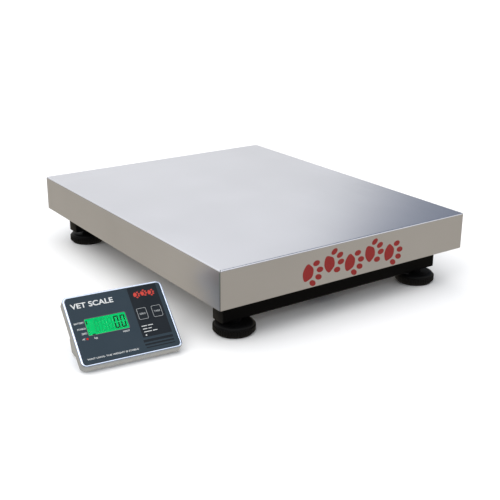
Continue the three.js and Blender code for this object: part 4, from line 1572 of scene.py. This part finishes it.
class SCALE_OT_feet(bpy.types.Operator):
    """Build the four screw feet: ribbed disc, threaded stud, lock nut and rubber pad"""

    bl_idname = "scale.feet"
    bl_label = "Levelling Feet"
    bl_options = {"REGISTER", "UNDO"}

    step: length("Step", "How far the dome stands back from the ribs", 2.2)
    chamfer: length("Chamfer", "Broken edge under the ribbed band", 2.4)
    hub_share: FloatProperty(
        name="Hub Share",
        description="Radius of the flat hub as a share of the disc's",
        default=0.72,
        min=0.2,
        max=0.95,
        subtype="FACTOR",
    )
    head_height: length("Stud Head Height", "Height of the stud's hexagon head", 8)
    stud_radius: length("Stud Radius", "Outside radius of the stud's thread", 6)

    def execute(self, context):
        for corner in CORNERS:
            low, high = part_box(f"foot_disc_{corner}")
            centre = Matrix.Translation((*halfway(low, high), 0))
            self.add_disc(corner, centre, (high.x - low.x) / 2, low.z, high.z)
            self.add_pad(corner, centre)
            self.add_stud(corner, centre)
            self.add_lock_nut(corner, centre)
        return {"FINISHED"}

    def disc_profile(self, radius, bottom, top):
        """Band, low step and dome outside; a pocket for the stud's head below."""
        depth = sizes().foot_rib_depth
        band = radius - depth
        band_top = sizes().foot_band_top
        dome_foot = radius - self.step
        dome_bottom = band_top + MM
        hub = radius * self.hub_share
        bore = self.stud_radius + 0.3 * MM
        pocket = 10.7 * MM
        pocket_top = bottom + self.head_height + 0.6 * MM
        return [
            (bore, pocket_top),
            (pocket, pocket_top),
            (pocket, bottom),
            (radius - self.chamfer - 0.2 * MM, bottom),
            (radius - self.chamfer, bottom + 0.1 * MM),
            (band - 0.3 * MM, bottom + self.chamfer - 0.6 * MM),
            (band, bottom + self.chamfer),
            (band, band_top - 0.3 * MM),
            (band - 0.3 * MM, band_top),
            (dome_foot + 0.2 * MM, band_top),
            (dome_foot, band_top + 0.2 * MM),
            (dome_foot, dome_bottom),
            *dome(hub, dome_foot, dome_bottom, top, 10),
            (hub, top),
            (hub - 0.4 * MM, top),
            (hub - 0.8 * MM, top - 0.4 * MM),
            (bore + 4 * MM, top - 0.4 * MM),
            (bore + 3.6 * MM, top),
            (bore, top),
        ]

    def add_disc(self, corner, centre, radius, bottom, top):
        disc = as_piece(
            turned(self.disc_profile(radius, bottom, top), 96, closed=True), f"ribbed_foot_{corner}"
        )
        count = sizes().foot_ribs
        rib_radius = math.pi * radius / count * 0.86
        low = bottom + self.chamfer * 0.75
        high = sizes().foot_band_top - 0.2 * MM
        grown(
            disc,
            once("Ribbed band", build_ribbed_band),
            ribs=count,
            ring_radius=radius - rib_radius * math.cos(math.pi / 8),
            rib_radius=rib_radius,
            height=high - low,
            middle=(high + low) / 2,
            material=finish("black_plastic"),
        )
        disc.data.transform(centre)
        shaded(disc, 30)
        fit(disc, f"foot_screw_{corner}", "black_plastic", "black_plastic", f"foot_disc_{corner}")

    def add_pad(self, corner, centre):
        """A rubber pad with rings moulded under it."""
        node = f"foot_pad_{corner}"
        low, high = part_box(node)
        radius = (high.x - low.x) / 2
        top = high.z
        groove = 0.6 * MM
        profile = [(0, 0.5 * MM), (4 * MM, 0.5 * MM)]
        for inner in (6 * MM, 13 * MM, 20 * MM):
            profile += [(inner, 0), (inner + 4 * MM, 0)]
            profile += [(inner + 4.6 * MM, groove), (inner + 6 * MM, groove)]
        profile += [(27 * MM, 0), (radius - 0.5 * MM, 0), (radius, 0.5 * MM)]
        profile += [(radius, top), (0, top)]
        pad = as_piece(turned(profile, 64), f"rubber_pad_{corner}", centre)
        fit(pad, node, "black_rubber", "black_rubber", node)

    def add_stud(self, corner, centre):
        node = f"foot_stud_{corner}"
        low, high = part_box(node)
        apothem = (high.y - low.y) / 2
        core = self.stud_radius - 0.5 * MM
        head = nut(apothem, low.z, low.z + self.head_height, 0)
        bottom = low.z + self.head_height - MM
        top = high.z
        profile = [(0, bottom), (core, bottom), (core, top - MM), (core - MM, top), (0, top)]
        rod = turned(profile, 32)
        stud = threaded(
            gathered([head, rod]),
            f"threaded_stud_{corner}",
            self.stud_radius,
            bottom + 1.5 * MM,
            high.z - 1.5 * MM,
            sizes().stud_pitch,
            "black_zinc",
            centre,
        )
        fit(stud, f"foot_screw_{corner}", "black_zinc", "zinc_plate", node)

    def add_lock_nut(self, corner, centre):
        node = f"lock_nut_{corner}"
        low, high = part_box(node)
        apothem = (high.y - low.y) / 2
        bore = self.stud_radius + 0.1 * MM
        ring = nut(apothem, low.z, high.z, bore)
        collar = as_piece(ring, f"hex_lock_nut_{corner}", centre, 30)
        fit(collar, "base", "black_zinc", "zinc_plate", node)


# ---- Cable glands -------------------------------------------------------------------------------


class SCALE_OT_glands(bpy.types.Operator):
    """Build the two cable glands with their ribbed caps and sealing plugs"""

    bl_idname = "scale.glands"
    bl_label = "Cable Glands"
    bl_options = {"REGISTER", "UNDO"}

    def execute(self, context):
        self.add_gland("base_cable_gland", "base_spine", "base")
        self.add_gland("indicator_cable_gland", "main_board", "indicator")
        return {"FINISHED"}

    def add_gland(self, node, wall, body):
        axes = turned_axes(node, wall)
        low, _ = box_in(node, axes)
        collar, cap, nose, bore = 9 * MM, 7 * MM, 5.2 * MM, 3.2 * MM
        profile = [
            (bore, low.z),
            (6 * MM, low.z),
            (6 * MM, -15.7 * MM),
            (collar * 0.98, -15.7 * MM),
            (collar, -15.3 * MM),
            (collar, -11 * MM),
            (collar - 0.6 * MM, -10.4 * MM),
            (cap, -9.6 * MM),
            (cap, -4 * MM),
            *arc(cap - 1.6 * MM, -4 * MM, 1.6 * MM, 10, 60, 4),
            (nose, -0.4 * MM),
            (nose - 0.5 * MM, 0),
            (bore, 0),
        ]
        gland = as_piece(turned(profile, 48, closed=True), f"{node}_body")
        grown(
            gland,
            once("Ribbed band", build_ribbed_band),
            ribs=20,
            ring_radius=cap - 0.15 * MM,
            rib_radius=0.8 * MM,
            height=5.6 * MM,
            middle=-6.9 * MM,
            material=finish("black_plastic"),
        )
        gland.data.transform(axes)
        shaded(gland, 32)
        fit(gland, body, "black_plastic", "black_plastic", node)
        side, back, front = bore - 0.05 * MM, low.z + MM, -0.5 * MM
        profile = [(0, back), (side, back), (side, -0.9 * MM), (bore - 0.5 * MM, front), (0, front)]
        seal = as_piece(turned(profile, 32), f"{node}_plug", axes)
        fit(seal, body, "black_rubber", "black_rubber")


# ---- Indicator's case ---------------------------------------------------------------------------


CASE_CORNER = 8.5 * MM


def face_outline(inset):
    """The outline of the face, drawn in from the rim's outside."""
    width = FACE_WIDTH - 2 * inset
    height = FACE_HEIGHT - 2 * inset
    return rounded_outline(width, height, max(CASE_CORNER - inset, 0.4 * MM), 10)


def opening(node, grow, radius=MM):
    """The outline of a node that fills an opening in the face, grown by its clearance."""
    low, high = box_in(node, FACE)
    return rounded_outline(
        high.x - low.x + 2 * grow,
        high.y - low.y + 2 * grow,
        radius + grow,
        6,
        *halfway(low, high),
    )


KEY_CORNER = 2.6 * MM


def key_outline(name, grow):
    return opening(f"{name}_key", grow, KEY_CORNER)


def light_outline(grow):
    low, high = box_in("power_led", FACE)
    return circle((high.x - low.x) / 2 + grow, 24, *halfway(low, high))


def openings(grow):
    """Window, both keys and the power light."""
    return [
        opening("display_window", grow),
        key_outline("zero", grow),
        key_outline("tare", grow),
        light_outline(grow),
    ]


FLOOR_FRONT = -0.8 * MM
FLOOR_BACK = -2 * MM


def tray_band():
    """The tray's rolled rim and skirt, closed on itself all round."""
    low, _ = box_in("front_tray", FACE)
    rim, radius = sizes().rim_width, sizes().rim_radius
    sheet = 1.2 * MM
    profile = [
        (0.3 * MM, low.z),
        (0, low.z + 0.3 * MM),
        *[(radius - x, z) for x, z in arc(0, -radius, radius, 0, 90, 8)],
        *[(rim - 0.7 * MM + x, z) for x, z in arc(0, -0.7 * MM, 0.7 * MM, 90, 0, 4)],
        (rim, FLOOR_FRONT),
        (rim + 2 * MM, FLOOR_FRONT),
        (rim + 2 * MM, FLOOR_BACK),
        (sheet + MM, FLOOR_BACK),
        (sheet, -3 * MM),
        (sheet, low.z),
    ]
    rings = [[(x, y, z) for x, y in face_outline(inset)] for inset, z in profile]
    return tidied(skin(rings, closed=True, capped=False))


def case_posts():
    """The posts behind the tray's face that the housing's screws go into."""
    outer, bore = 3.4 * MM, 1.8 * MM
    front, back = -1.6 * MM, -14.9 * MM
    posts = []
    for index in SCREWS:
        low, high = box_in(f"housing_screw_{index}", FACE)
        x, y = halfway(low, high)
        profile = [(outer, back), (outer, front), (bore, front), (bore, back)]
        posts.append(moved(turned(profile, 24, closed=True), Matrix.Translation((x, y, 0))))
    return posts


SCREW_HEAD = 1.8 * MM


def cross_screw():
    """A domed screw head with a cross recess, from its seat at z = 0 towards -z."""
    radius, rim = 2.9 * MM, 0.5 * MM
    profile = [(0, 0), (radius, 0), (radius, -rim)]
    profile += [*dome(0, radius, -rim, -SCREW_HEAD, 6), (0, -SCREW_HEAD)]
    head = as_piece(turned(profile, 32), "screw_template")
    slot_depth = 1.1 * MM
    cutters = []
    for turn in (0, math.pi / 2):
        outline = rounded_outline(3.4 * MM, 0.7 * MM, 0.1 * MM, 2)
        slot = prism(outline, -SCREW_HEAD - MM, -SCREW_HEAD + slot_depth)
        cutter = as_piece(slot, "slot", Matrix.Rotation(turn, 4, "Z"))
        hollow = head.modifiers.new("Slot", "BOOLEAN")
        hollow.operation = "DIFFERENCE"
        hollow.solver = "EXACT"
        hollow.object = cutter
        cutters.append(cutter)
    settled(head)
    for cutter in cutters:
        bpy.data.objects.remove(cutter)
    return head


class SCALE_OT_indicator_case(bpy.types.Operator):
    """Build the indicator's tray, rear housing, screws, socket and runners"""

    bl_idname = "scale.indicator_case"
    bl_label = "Indicator Case"
    bl_options = {"REGISTER", "UNDO"}

    def execute(self, context):
        loops = [face_outline(sizes().rim_width - 0.2 * MM), *openings(0.3 * MM)]
        floor = plate(loops, FLOOR_BACK, FLOOR_FRONT)
        whole = gathered([tray_band(), floor, *case_posts()])
        tray = evened(as_piece(whole, "stainless_tray", FACE, 40))
        fit(tray, "indicator", "case_steel", "brushed_steel", "front_tray")
        self.add_housing()
        self.add_screws()
        self.add_socket()
        for side in ("left", "right"):
            node = f"rubber_runner_{side}"
            runner = eased_copy(node, f"ribbed_runner_{side}", 0.7 * MM)
            fit(runner, "indicator", "black_rubber", "black_rubber", node)
        return {"FINISHED"}

    def add_housing(self):
        """The folded housing, with wide bends behind the flat back plate."""
        plate_low = box_in("front_tray", FACE)[0].z - 2 * MM
        inverse = FACE.inverted()

        def folded(place):
            return (inverse @ place).z < plate_low

        housing = eased_copy("rear_housing", "stainless_housing", 1.1 * MM, 4, folded)
        fit(housing, "indicator", "case_steel", "brushed_steel", "rear_housing")

    def add_screws(self):
        template = cross_screw()
        points = bmesh.new()
        nodes = [f"housing_screw_{index}" for index in SCREWS]
        for node in nodes:
            low, high = box_in(node, FACE)
            points.verts.new((*halfway(low, high), low.z + SCREW_HEAD))
        screws = as_piece(points, "housing_screws")
        grown(
            screws,
            once("Copies", build_copies),
            original=template,
            material=finish("zinc_plate"),
        )
        bpy.data.objects.remove(template)
        screws.data.transform(FACE)
        shaded(screws, 30)
        fit(screws, "indicator", "zinc_plate", "zinc_plate", *nodes)

    def add_socket(self):
        """The power inlet with a pin in the middle of its bore."""
        socket = eased_copy("power_socket", "power_inlet", 0.4 * MM)
        fit(socket, "indicator", "black_plastic", "black_plastic", "power_socket")
        axes = turned_axes("indicator_cable_gland", "main_board")
        low, high = box_in("power_socket", axes)
        place = Vector((*halfway(low, high), low.z + MM))
        reach = high.z - low.z - 2 * MM
        profile = [(0, 0), (MM, 0), (MM, reach - MM), *arc(0, reach - MM, MM, 10, 90), (0, reach)]
        pin = as_piece(turned(profile, 24), "power_inlet_pin", axes @ Matrix.Translation(place))
        fit(pin, "indicator", "brass", "zinc_plate")


# ---- Indicator's face ---------------------------------------------------------------------------


def across(distance):
    """A place across the face, from millimetres from its left edge."""
    return distance * MM - FACE_WIDTH / 2


def down(distance):
    """A place on the face, from millimetres below its upper edge."""
    return FACE_HEIGHT / 2 - distance * MM


def raised(shapes, level):
    """Printed shapes put on a level of the face."""
    return moved(gathered(shapes), Matrix.Translation((0, 0, level)))


def bar(left, top, width, height, radius=0.3):
    """A printed bar, from millimetres."""
    outline = rounded_outline(
        width * MM, height * MM, radius * MM, 3, across(left + width / 2), down(top + height / 2)
    )
    return prism(outline, 0, sizes().ink)


class SCALE_OT_face_film(bpy.types.Operator):
    """Build the printed film with its dark panel, lines and lettering"""

    bl_idname = "scale.face_film"
    bl_label = "Face Film"
    bl_options = {"REGISTER", "UNDO"}

    title: StringProperty(
        name="Title", description="Words above the display", default="VET SCALE"
    )
    note: StringProperty(
        name="Note",
        description="Small print along the lower edge",
        default="WAIT UNTIL THE WEIGHT IS STABLE",
    )

    def execute(self, context):
        low, high = box_in("face_overlay", FACE)
        inset = (FACE_WIDTH - (high.x - low.x)) / 2
        sheet = plate([face_outline(inset), *openings(0.25 * MM)], low.z, high.z)
        film = as_piece(sheet, "printed_film", FACE)
        fit(film, "indicator", "slate_film", "slate_film", "face_overlay")
        self.add_dark_print(high.z)
        self.add_white_print(high.z)
        self.add_red_print(high.z)
        self.add_window_frame(high.z)
        return {"FINISHED"}

    def add_dark_print(self, level):
        outline = rounded_outline(45.4 * MM, 81.6 * MM, 0.4 * MM, 3, across(121.3), down(45))
        holes = [key_outline("zero", 0.25 * MM), key_outline("tare", 0.25 * MM)]
        panel = plate([outline, *holes], 0, sizes().ink * 0.5)
        stripes = [bar(97.5, 89.6, 45.7, 4), bar(98, 96, 45.2, 2.6), bar(98.6, 101.3, 44.6, 1.5)]
        dark = as_piece(raised([panel, *stripes], level), "dark_print", FACE)
        fit(dark, "indicator", "dark_film", "dark_film")

    def add_white_print(self, level):
        words = [
            lettering(self.title, 8.4 * MM, across(9.4), down(17.4), "LEFT", 64 * MM, 0.02),
            lettering(self.note, 2.5 * MM, across(10.3), down(100.8), "LEFT", 76.5 * MM, 0.012),
            lettering("BATTERY", 2.6 * MM, across(21.4), down(44.4), "RIGHT", 14.5 * MM, 0.012),
            lettering("STABLE", 2.6 * MM, across(21.6), down(53.8), "RIGHT", 12.6 * MM, 0.012),
            lettering("ZERO", 2.6 * MM, across(21.4), down(61.4), "RIGHT", 8 * MM, 0.012),
            lettering("AC", 2.7 * MM, across(14.4), down(69.8), "CENTER", 4.4 * MM, 0.012),
            lettering("kg", 3.8 * MM, across(31.8), down(71.2), "CENTER", 4.6 * MM, 0.006),
            lettering("WEIGHT", 2.6 * MM, across(77.8), down(70.1), "CENTER", 10.4 * MM, 0.012),
        ]
        lines = [
            bar(102, 67.6, 8, 1.1),
            bar(111.5, 67.6, 8, 1.1),
            bar(102.4, 72.3, 7, 1.1),
            bar(111, 72.3, 5, 1.1),
            bar(102.8, 77, 12, 1.1),
            bar(116.5, 77, 7, 1.1),
            bar(103.4, 81.8, 2.4, 2, 0.9),
        ]
        ink = sizes().ink
        on_panel = [moved(line, Matrix.Translation((0, 0, ink * 0.5))) for line in lines]
        white = as_piece(raised([*words, *on_panel], level), "white_print", FACE)
        fit(white, "indicator", "white_ink", "slate_film")

    def add_red_print(self, level):
        trail = paw_trail(10.4 * MM, 33 * MM, 3, sizes().ink, 0.5 * MM)
        place = Matrix.Translation((across(105), down(16.8), level + sizes().ink * 0.5))
        prints = as_piece(trail, "orange_print", FACE @ place)
        fit(prints, "indicator", "orange_ink", "red_lens")

    def add_window_frame(self, level):
        outer = opening("display_window", 0.9 * MM, 1.2 * MM)
        inner = opening("display_window", 0.25 * MM)
        line = plate([outer, inner], 0, sizes().ink)
        border = as_piece(raised([line], level), "window_border", FACE)
        fit(border, "indicator", "purple_ink", "dark_film")


def bar_outlines(width, height, stroke):
    """The seven bars of a digit, mitred where they meet."""
    half, thin = height / 2, stroke / 2
    inner, top = width - stroke, height - stroke
    left_up = [(0, half), (stroke, half + thin), (stroke, top), (0, height)]
    left_down = [(0, 0), (stroke, stroke), (stroke, half - thin), (0, half)]
    return {
        "top": [(stroke, top), (inner, top), (width, height), (0, height)],
        "middle": [
            (thin, half),
            (stroke, half - thin),
            (inner, half - thin),
            (width - thin, half),
            (inner, half + thin),
            (stroke, half + thin),
        ],
        "bottom": [(0, 0), (width, 0), (inner, stroke), (stroke, stroke)],
        "upper left": left_up,
        "upper right": [(width - x, y) for x, y in reversed(left_up)],
        "lower left": left_down,
        "lower right": [(width - x, y) for x, y in reversed(left_down)],
    }


def digit(lit, left, bottom, width, height, stroke, thick):
    """The lit bars of a seven-bar digit, a little apart and leaning to the right."""
    outlines = bar_outlines(width, height, stroke)
    shapes = []
    for name in lit:
        places = [Vector(point) for point in outlines[name]]
        centre = sum(places, Vector((0, 0))) / len(places)
        apart = [centre + (place - centre) * 0.93 for place in places]
        lean = [(left + place.x + place.y * 0.05, bottom + place.y) for place in apart]
        shapes.append(prism(lean, 0, thick))
    return shapes


ALL_BARS = ("top", "middle", "bottom", "upper left", "upper right", "lower left", "lower right")
ZERO_BARS = tuple(bar_name for bar_name in ALL_BARS if bar_name != "middle")


class SCALE_OT_display(bpy.types.Operator):
    """Build the window and the lit display with its digits and marks"""

    bl_idname = "scale.display"
    bl_label = "Display"
    bl_options = {"REGISTER", "UNDO"}

    def execute(self, context):
        self.add_window()
        _, high = box_in("display_module", FACE)
        bezel = eased_copy("display_module", "display_block", 0.4 * MM)
        fit(bezel, "indicator", "lit_display", "lit_display", "display_module")
        self.add_marks(high.z)
        return {"FINISHED"}

    def add_window(self):
        _, high = box_in("display_window", FACE)
        pane = prism(opening("display_window", 0), high.z - 0.6 * MM, high.z, 0.15 * MM)
        window = as_piece(pane, "clear_window", FACE, 25)
        fit(window, "indicator", "clear_acrylic", "clear_acrylic", "display_window")

    def add_marks(self, level):
        low, high = box_in("display_window", FACE)
        thick = 0.04 * MM
        bottom = low.y + 3.4 * MM
        tall, wide, stroke = 20 * MM, 7.4 * MM, 2.1 * MM
        pitch = 9.9 * MM
        last = high.x - 2.2 * MM - wide
        lit = digit(ZERO_BARS, last, bottom, wide, tall, stroke, thick)
        lit += digit(ZERO_BARS, last - pitch, bottom, wide, tall, stroke, thick)
        point_x = last - (pitch - wide) / 2
        lit.append(prism(circle(0.85 * MM, 16, point_x, bottom + 0.8 * MM), 0, thick))
        column = low.x + 2.6 * MM
        lit.append(self.mark(column, high.y - 4.6 * MM, 2.0 * MM, 5.4 * MM, thick))
        for y in (high.y - 14.2 * MM, high.y - 20.4 * MM):
            lit.append(self.arrow(column - 0.2 * MM, y, 1.9 * MM, thick))
        lit.append(self.mark(low.x + 8.4 * MM, low.y + 1.5 * MM, 4.6 * MM, 1.5 * MM, thick))
        dark = as_piece(raised(lit, level), "dark_marks", FACE)
        fit(dark, "indicator", "dark_segments", "lit_display")
        unlit = []
        for place in range(2, 5):
            unlit += digit(ALL_BARS, last - place * pitch, bottom, wide, tall, stroke, thick * 0.5)
        ghost = as_piece(raised(unlit, level), "unlit_marks", FACE)
        fit(ghost, "indicator", "ghost_segments", "lit_display")

    def mark(self, x, y, width, height, thick):
        return prism(rounded_outline(width, height, 0.25 * MM, 3, x, y), 0, thick)

    def arrow(self, x, y, size, thick):
        half = size / 2
        return prism([(x - half, y), (x + half, y - half), (x + half, y + half)], 0, thick)


class SCALE_OT_keys(bpy.types.Operator):
    """Build the two keys with their outlines and words"""

    bl_idname = "scale.keys"
    bl_label = "Keys"
    bl_options = {"REGISTER", "UNDO"}

    def execute(self, context):
        for name in KEYS:
            self.add_key(name)
        return {"FINISHED"}

    def add_key(self, name):
        node = f"{name}_key"
        low, high = box_in(node, FACE)
        x, y = halfway(low, high)
        width, height = high.x - low.x, high.y - low.y
        rings = []
        for below, inset in ((high.z - low.z, 0), (0.25 * MM, 0), (0.1 * MM, 0.1 * MM), (0, 0.35 * MM)):
            wide, tall, radius = width - 2 * inset, height - 2 * inset, KEY_CORNER - inset
            outline = rounded_outline(wide, tall, radius, 6, x, y)
            rings.append([(px, py, high.z - below) for px, py in outline])
        key = evened(as_piece(skin(rings), f"{name}_key_cap", FACE))
        fit(key, node, "dark_film", "dark_film", node)
        ink = sizes().ink * 0.6
        loops = [
            rounded_outline(width - 0.9 * MM, height - 0.9 * MM, 2.2 * MM, 6, x, y),
            rounded_outline(width - 2 * MM, height - 2 * MM, 1.7 * MM, 6, x, y),
        ]
        word = lettering(name.upper(), 2.7 * MM, x, y, "CENTER", 9.6 * MM, 0.012)
        outline = as_piece(raised([plate(loops, 0, ink), word], high.z), f"{name}_key_print", FACE)
        fit(outline, node, "grey_ink", "dark_film")


class SCALE_OT_electronics(bpy.types.Operator):
    """Build the power light, and finish the board, switches and battery behind the face"""

    bl_idname = "scale.electronics"
    bl_label = "Light and Electronics"
    bl_options = {"REGISTER", "UNDO"}

    def execute(self, context):
        self.add_light()
        painted(frame["nodes"]["main_board"], "circuit_board")
        for name in KEYS:
            painted(frame["nodes"][f"{name}_key_switch"], "black_plastic")
        battery = eased_copy("battery_pack", "wrapped_battery", 2.2 * MM, 4)
        fit(battery, "indicator", "battery_wrap", "battery_wrap", "battery_pack")
        self.add_chips()
        return {"FINISHED"}

    def add_light(self):
        low, high = box_in("power_led", FACE)
        x, y = halfway(low, high)
        radius = (high.x - low.x) / 2
        body = radius * 0.9
        shoulder, top = high.z - 0.4 * MM, high.z + 0.25 * MM
        profile = [(0, low.z), (body, low.z), (body, -1.2 * MM), (radius, -1.1 * MM)]
        profile += [(radius, shoulder), *dome(0, radius, shoulder, top, 6), (0, top)]
        light = as_piece(turned(profile, 32), "light_lens", FACE @ Matrix.Translation((x, y, 0)))
        fit(light, "indicator", "red_lens", "red_lens", "power_led")

    def add_chips(self):
        low, high = box_in("main_board", FACE)
        sheet = bmesh.new()
        left, right = -6 * MM, high.x - 44 * MM
        bottom, top = low.y + 6 * MM, high.y - 42 * MM
        corners = ((right, bottom), (right, top), (left, top), (left, bottom))
        sheet.faces.new([sheet.verts.new((x, y, high.z + 0.6 * MM)) for x, y in corners])
        chips = as_piece(sheet, "board_parts")
        grown(
            chips,
            once("Board parts", build_chips),
            density=22000.0,
            seed=5,
            largest=4.5 * MM,
            material=finish("black_plastic"),
        )
        chips.data.transform(FACE)
        shaded(chips)
        fit(chips, "indicator", "black_plastic", "circuit_board")


# ---- Stage --------------------------------------------------------------------------------------


def facing_towards(tree, place, direction):
    """How far a direction of the sky lies towards another."""
    inputs = {0: place.outputs["Generated"], 1: direction}
    made = put(tree, "ShaderNodeVectorMath", inputs, operation="DOT_PRODUCT")
    return made.outputs["Value"]


def fade(tree, value, start, end):
    """A soft step from 0 at start to 1 at end."""
    return spread(tree, value, 0.0, 1.0, start=start, end=end, curve="SMOOTHSTEP")


def mix_by_ray(tree, kind, other, seen):
    """One shader for rays of a kind, and another for all the rest."""
    path = put(tree, "ShaderNodeLightPath")
    return put(tree, "ShaderNodeMixShader", {0: path.outputs[kind], 1: other, 2: seen})


def studio_world():
    """White overhead that dims to one side, a dark line at the horizon, and plain white to the eye."""
    world = bpy.data.worlds.new("studio")
    world.use_nodes = True
    tree = world.node_tree
    tree.nodes.clear()
    place = put(tree, "ShaderNodeTexCoord")
    way = put(tree, "ShaderNodeSeparateXYZ", {"Vector": place.outputs["Generated"]})
    overhead = put(
        tree, "ShaderNodeMath", {0: way.outputs["Z"], 1: 1.0, 2: 0.78}, operation="MULTIPLY_ADD"
    )
    brightness = overhead.outputs["Value"]
    channels = {"Red": brightness, "Green": brightness, "Blue": brightness}
    bright = put(tree, "ShaderNodeCombineColor", channels)
    right_and_back, wide, narrow = (0.8365, 0.2241, 0.5), 34.5, 29
    shaded_side = fade(
        tree,
        facing_towards(tree, place, right_and_back),
        math.cos(math.radians(wide)),
        math.cos(math.radians(narrow)),
    )
    dimmed = blend_colours(tree, shaded_side, bright.outputs["Color"], (0.255, 0.29, 0.365))
    left_and_front = (-0.57, -0.82, 0)
    towards = fade(tree, facing_towards(tree, place, left_and_front), 0.2, 0.5)
    beneath = fade(tree, way.outputs["Z"], 0.62, 0.42)
    room = reckon(tree, "MULTIPLY", towards, beneath)
    dimmed = blend_colours(tree, room, dimmed, (0.24, 0.27, 0.33))
    above_horizon = fade(tree, way.outputs["Z"], 0.03, 0.13)
    lined = blend_colours(tree, above_horizon, (0.12, 0.1, 0.08), dimmed)
    glow = put(tree, "ShaderNodeBackground", {"Color": lined})
    plain = put(tree, "ShaderNodeBackground", {"Color": (1, 1, 1, 1)})
    mixed = mix_by_ray(tree, "Is Camera Ray", glow.outputs["Background"], plain.outputs["Background"])
    end = put(tree, "ShaderNodeOutputWorld")
    tree.links.new(mixed.outputs["Shader"], end.inputs["Surface"])
    return world


def floor_finish():
    """Pale floor; to glossy rays it glows beige grey, a painted reflection shown in the polished steel.
    """
    material = bpy.data.materials.new("pale_floor")
    material.use_nodes = True
    tree = material.node_tree
    shader = tree.nodes["Principled BSDF"]
    set_shader(shader, base_color=(0.93, 0.93, 0.93, 1), roughness=0.9, specular_ior_level=0.1)
    # Painted reflection: glossy rays see a beige-grey glow instead of the pale floor.
    painted_reflection_glow = put(tree, "ShaderNodeEmission", {"Color": (0.595, 0.535, 0.43, 1), "Strength": 1.0})
    mixed = mix_by_ray(tree, "Is Glossy Ray", shader.outputs["BSDF"], painted_reflection_glow.outputs["Emission"])
    end = tree.nodes["Material Output"]
    tree.links.new(mixed.outputs["Shader"], end.inputs["Surface"])
    return material


class SCALE_OT_stage(bpy.types.Operator):
    """Lay the pale floor, and set up the light and the camera"""

    bl_idname = "scale.stage"
    bl_label = "Stage"
    bl_options = {"REGISTER", "UNDO"}

    def execute(self, context):
        scene = context.scene
        scene.view_settings.view_transform = "Standard"
        scene.world = studio_world()
        half = scene.scale_stage.floor_size / 2
        ground = bmesh.new()
        corners = ((-half, -half), (half, -half), (half, half), (-half, half))
        ground.faces.new([ground.verts.new((x, y, 0)) for x, y in corners])
        floor = as_piece(ground, "floor")
        floor.data.materials.append(floor_finish())
        self.add_light(scene)
        self.add_camera(scene)
        return {"FINISHED"}

    def add_light(self, scene):
        """A large soft box high on the left, in front of the scale."""
        lamp = bpy.data.lights.new("soft_box", "AREA")
        lamp.shape = "SQUARE"
        lamp.size = 1.6
        lamp.energy = 22
        box = bpy.data.objects.new("soft_box", lamp)
        scene.collection.objects.link(box)
        box.location = (-1.9, -1.2, 2.3)
        target = Vector((0, 0, 0.05))
        box.rotation_euler = (target - box.location).to_track_quat("-Z", "Y").to_euler()

    def add_camera(self, scene):
        stage = scene.scale_stage
        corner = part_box("pan_cover")[0]
        look = Vector(
            (
                math.sin(stage.turn) * math.cos(stage.dip),
                math.cos(stage.turn) * math.cos(stage.dip),
                -math.sin(stage.dip),
            )
        )
        right = look.cross(UP).normalized()
        above = right.cross(look)
        level_x = right * math.cos(stage.roll) + above * math.sin(stage.roll)
        level_y = above * math.cos(stage.roll) - right * math.sin(stage.roll)
        lens = bpy.data.cameras.new("camera")
        lens.lens = stage.lens
        lens.sensor_width = 36
        camera = bpy.data.objects.new("camera", lens)
        scene.collection.objects.link(camera)
        axes = Matrix((level_x, level_y, -look)).transposed().to_4x4()
        camera.matrix_world = Matrix.Translation(corner + Vector(stage.camera_offset)) @ axes
        scene.camera = camera


# ---- Panel and registration ---------------------------------------------------------------------

OPERATORS = (
    SCALE_OT_pan,
    SCALE_OT_paw_prints,
    SCALE_OT_base_frame,
    SCALE_OT_upper_frame,
    SCALE_OT_load_cell,
    SCALE_OT_overload_stops,
    SCALE_OT_feet,
    SCALE_OT_glands,
    SCALE_OT_indicator_case,
    SCALE_OT_face_film,
    SCALE_OT_display,
    SCALE_OT_keys,
    SCALE_OT_electronics,
    SCALE_OT_stage,
)


class SCALE_PT_pieces(bpy.types.Panel):
    """Lists the scale's pieces and settings"""

    bl_idname = "SCALE_PT_pieces"
    bl_label = "Animal Weighing Scale"
    bl_space_type = "VIEW_3D"
    bl_region_type = "UI"
    bl_category = "Scale"

    def draw(self, context):
        layout = self.layout
        for operator in OPERATORS:
            layout.operator(operator.bl_idname)
        for name in GROUPS:
            group = getattr(context.scene, name)
            column = layout.column()
            for setting in group.bl_rna.properties.keys():
                if setting not in ("rna_type", "name"):
                    column.prop(group, setting)


GROUPS = {
    "scale_sizes": ScaleSizes,
    "scale_colours": ScaleColours,
    "scale_stage": StageSettings,
}


def register():
    for name, group in GROUPS.items():
        bpy.utils.register_class(group)
        setattr(bpy.types.Scene, name, bpy.props.PointerProperty(type=group))
    for operator in OPERATORS:
        bpy.utils.register_class(operator)
    bpy.utils.register_class(SCALE_PT_pieces)


def unregister():
    bpy.utils.unregister_class(SCALE_PT_pieces)
    for operator in reversed(OPERATORS):
        bpy.utils.unregister_class(operator)
    for name, group in reversed(GROUPS.items()):
        delattr(bpy.types.Scene, name)
        bpy.utils.unregister_class(group)


def main():
    register()
    for operator in OPERATORS:
        _, name = operator.bl_idname.split(".")
        getattr(bpy.ops.scale, name)()


if __name__ == "__main__":
    main()
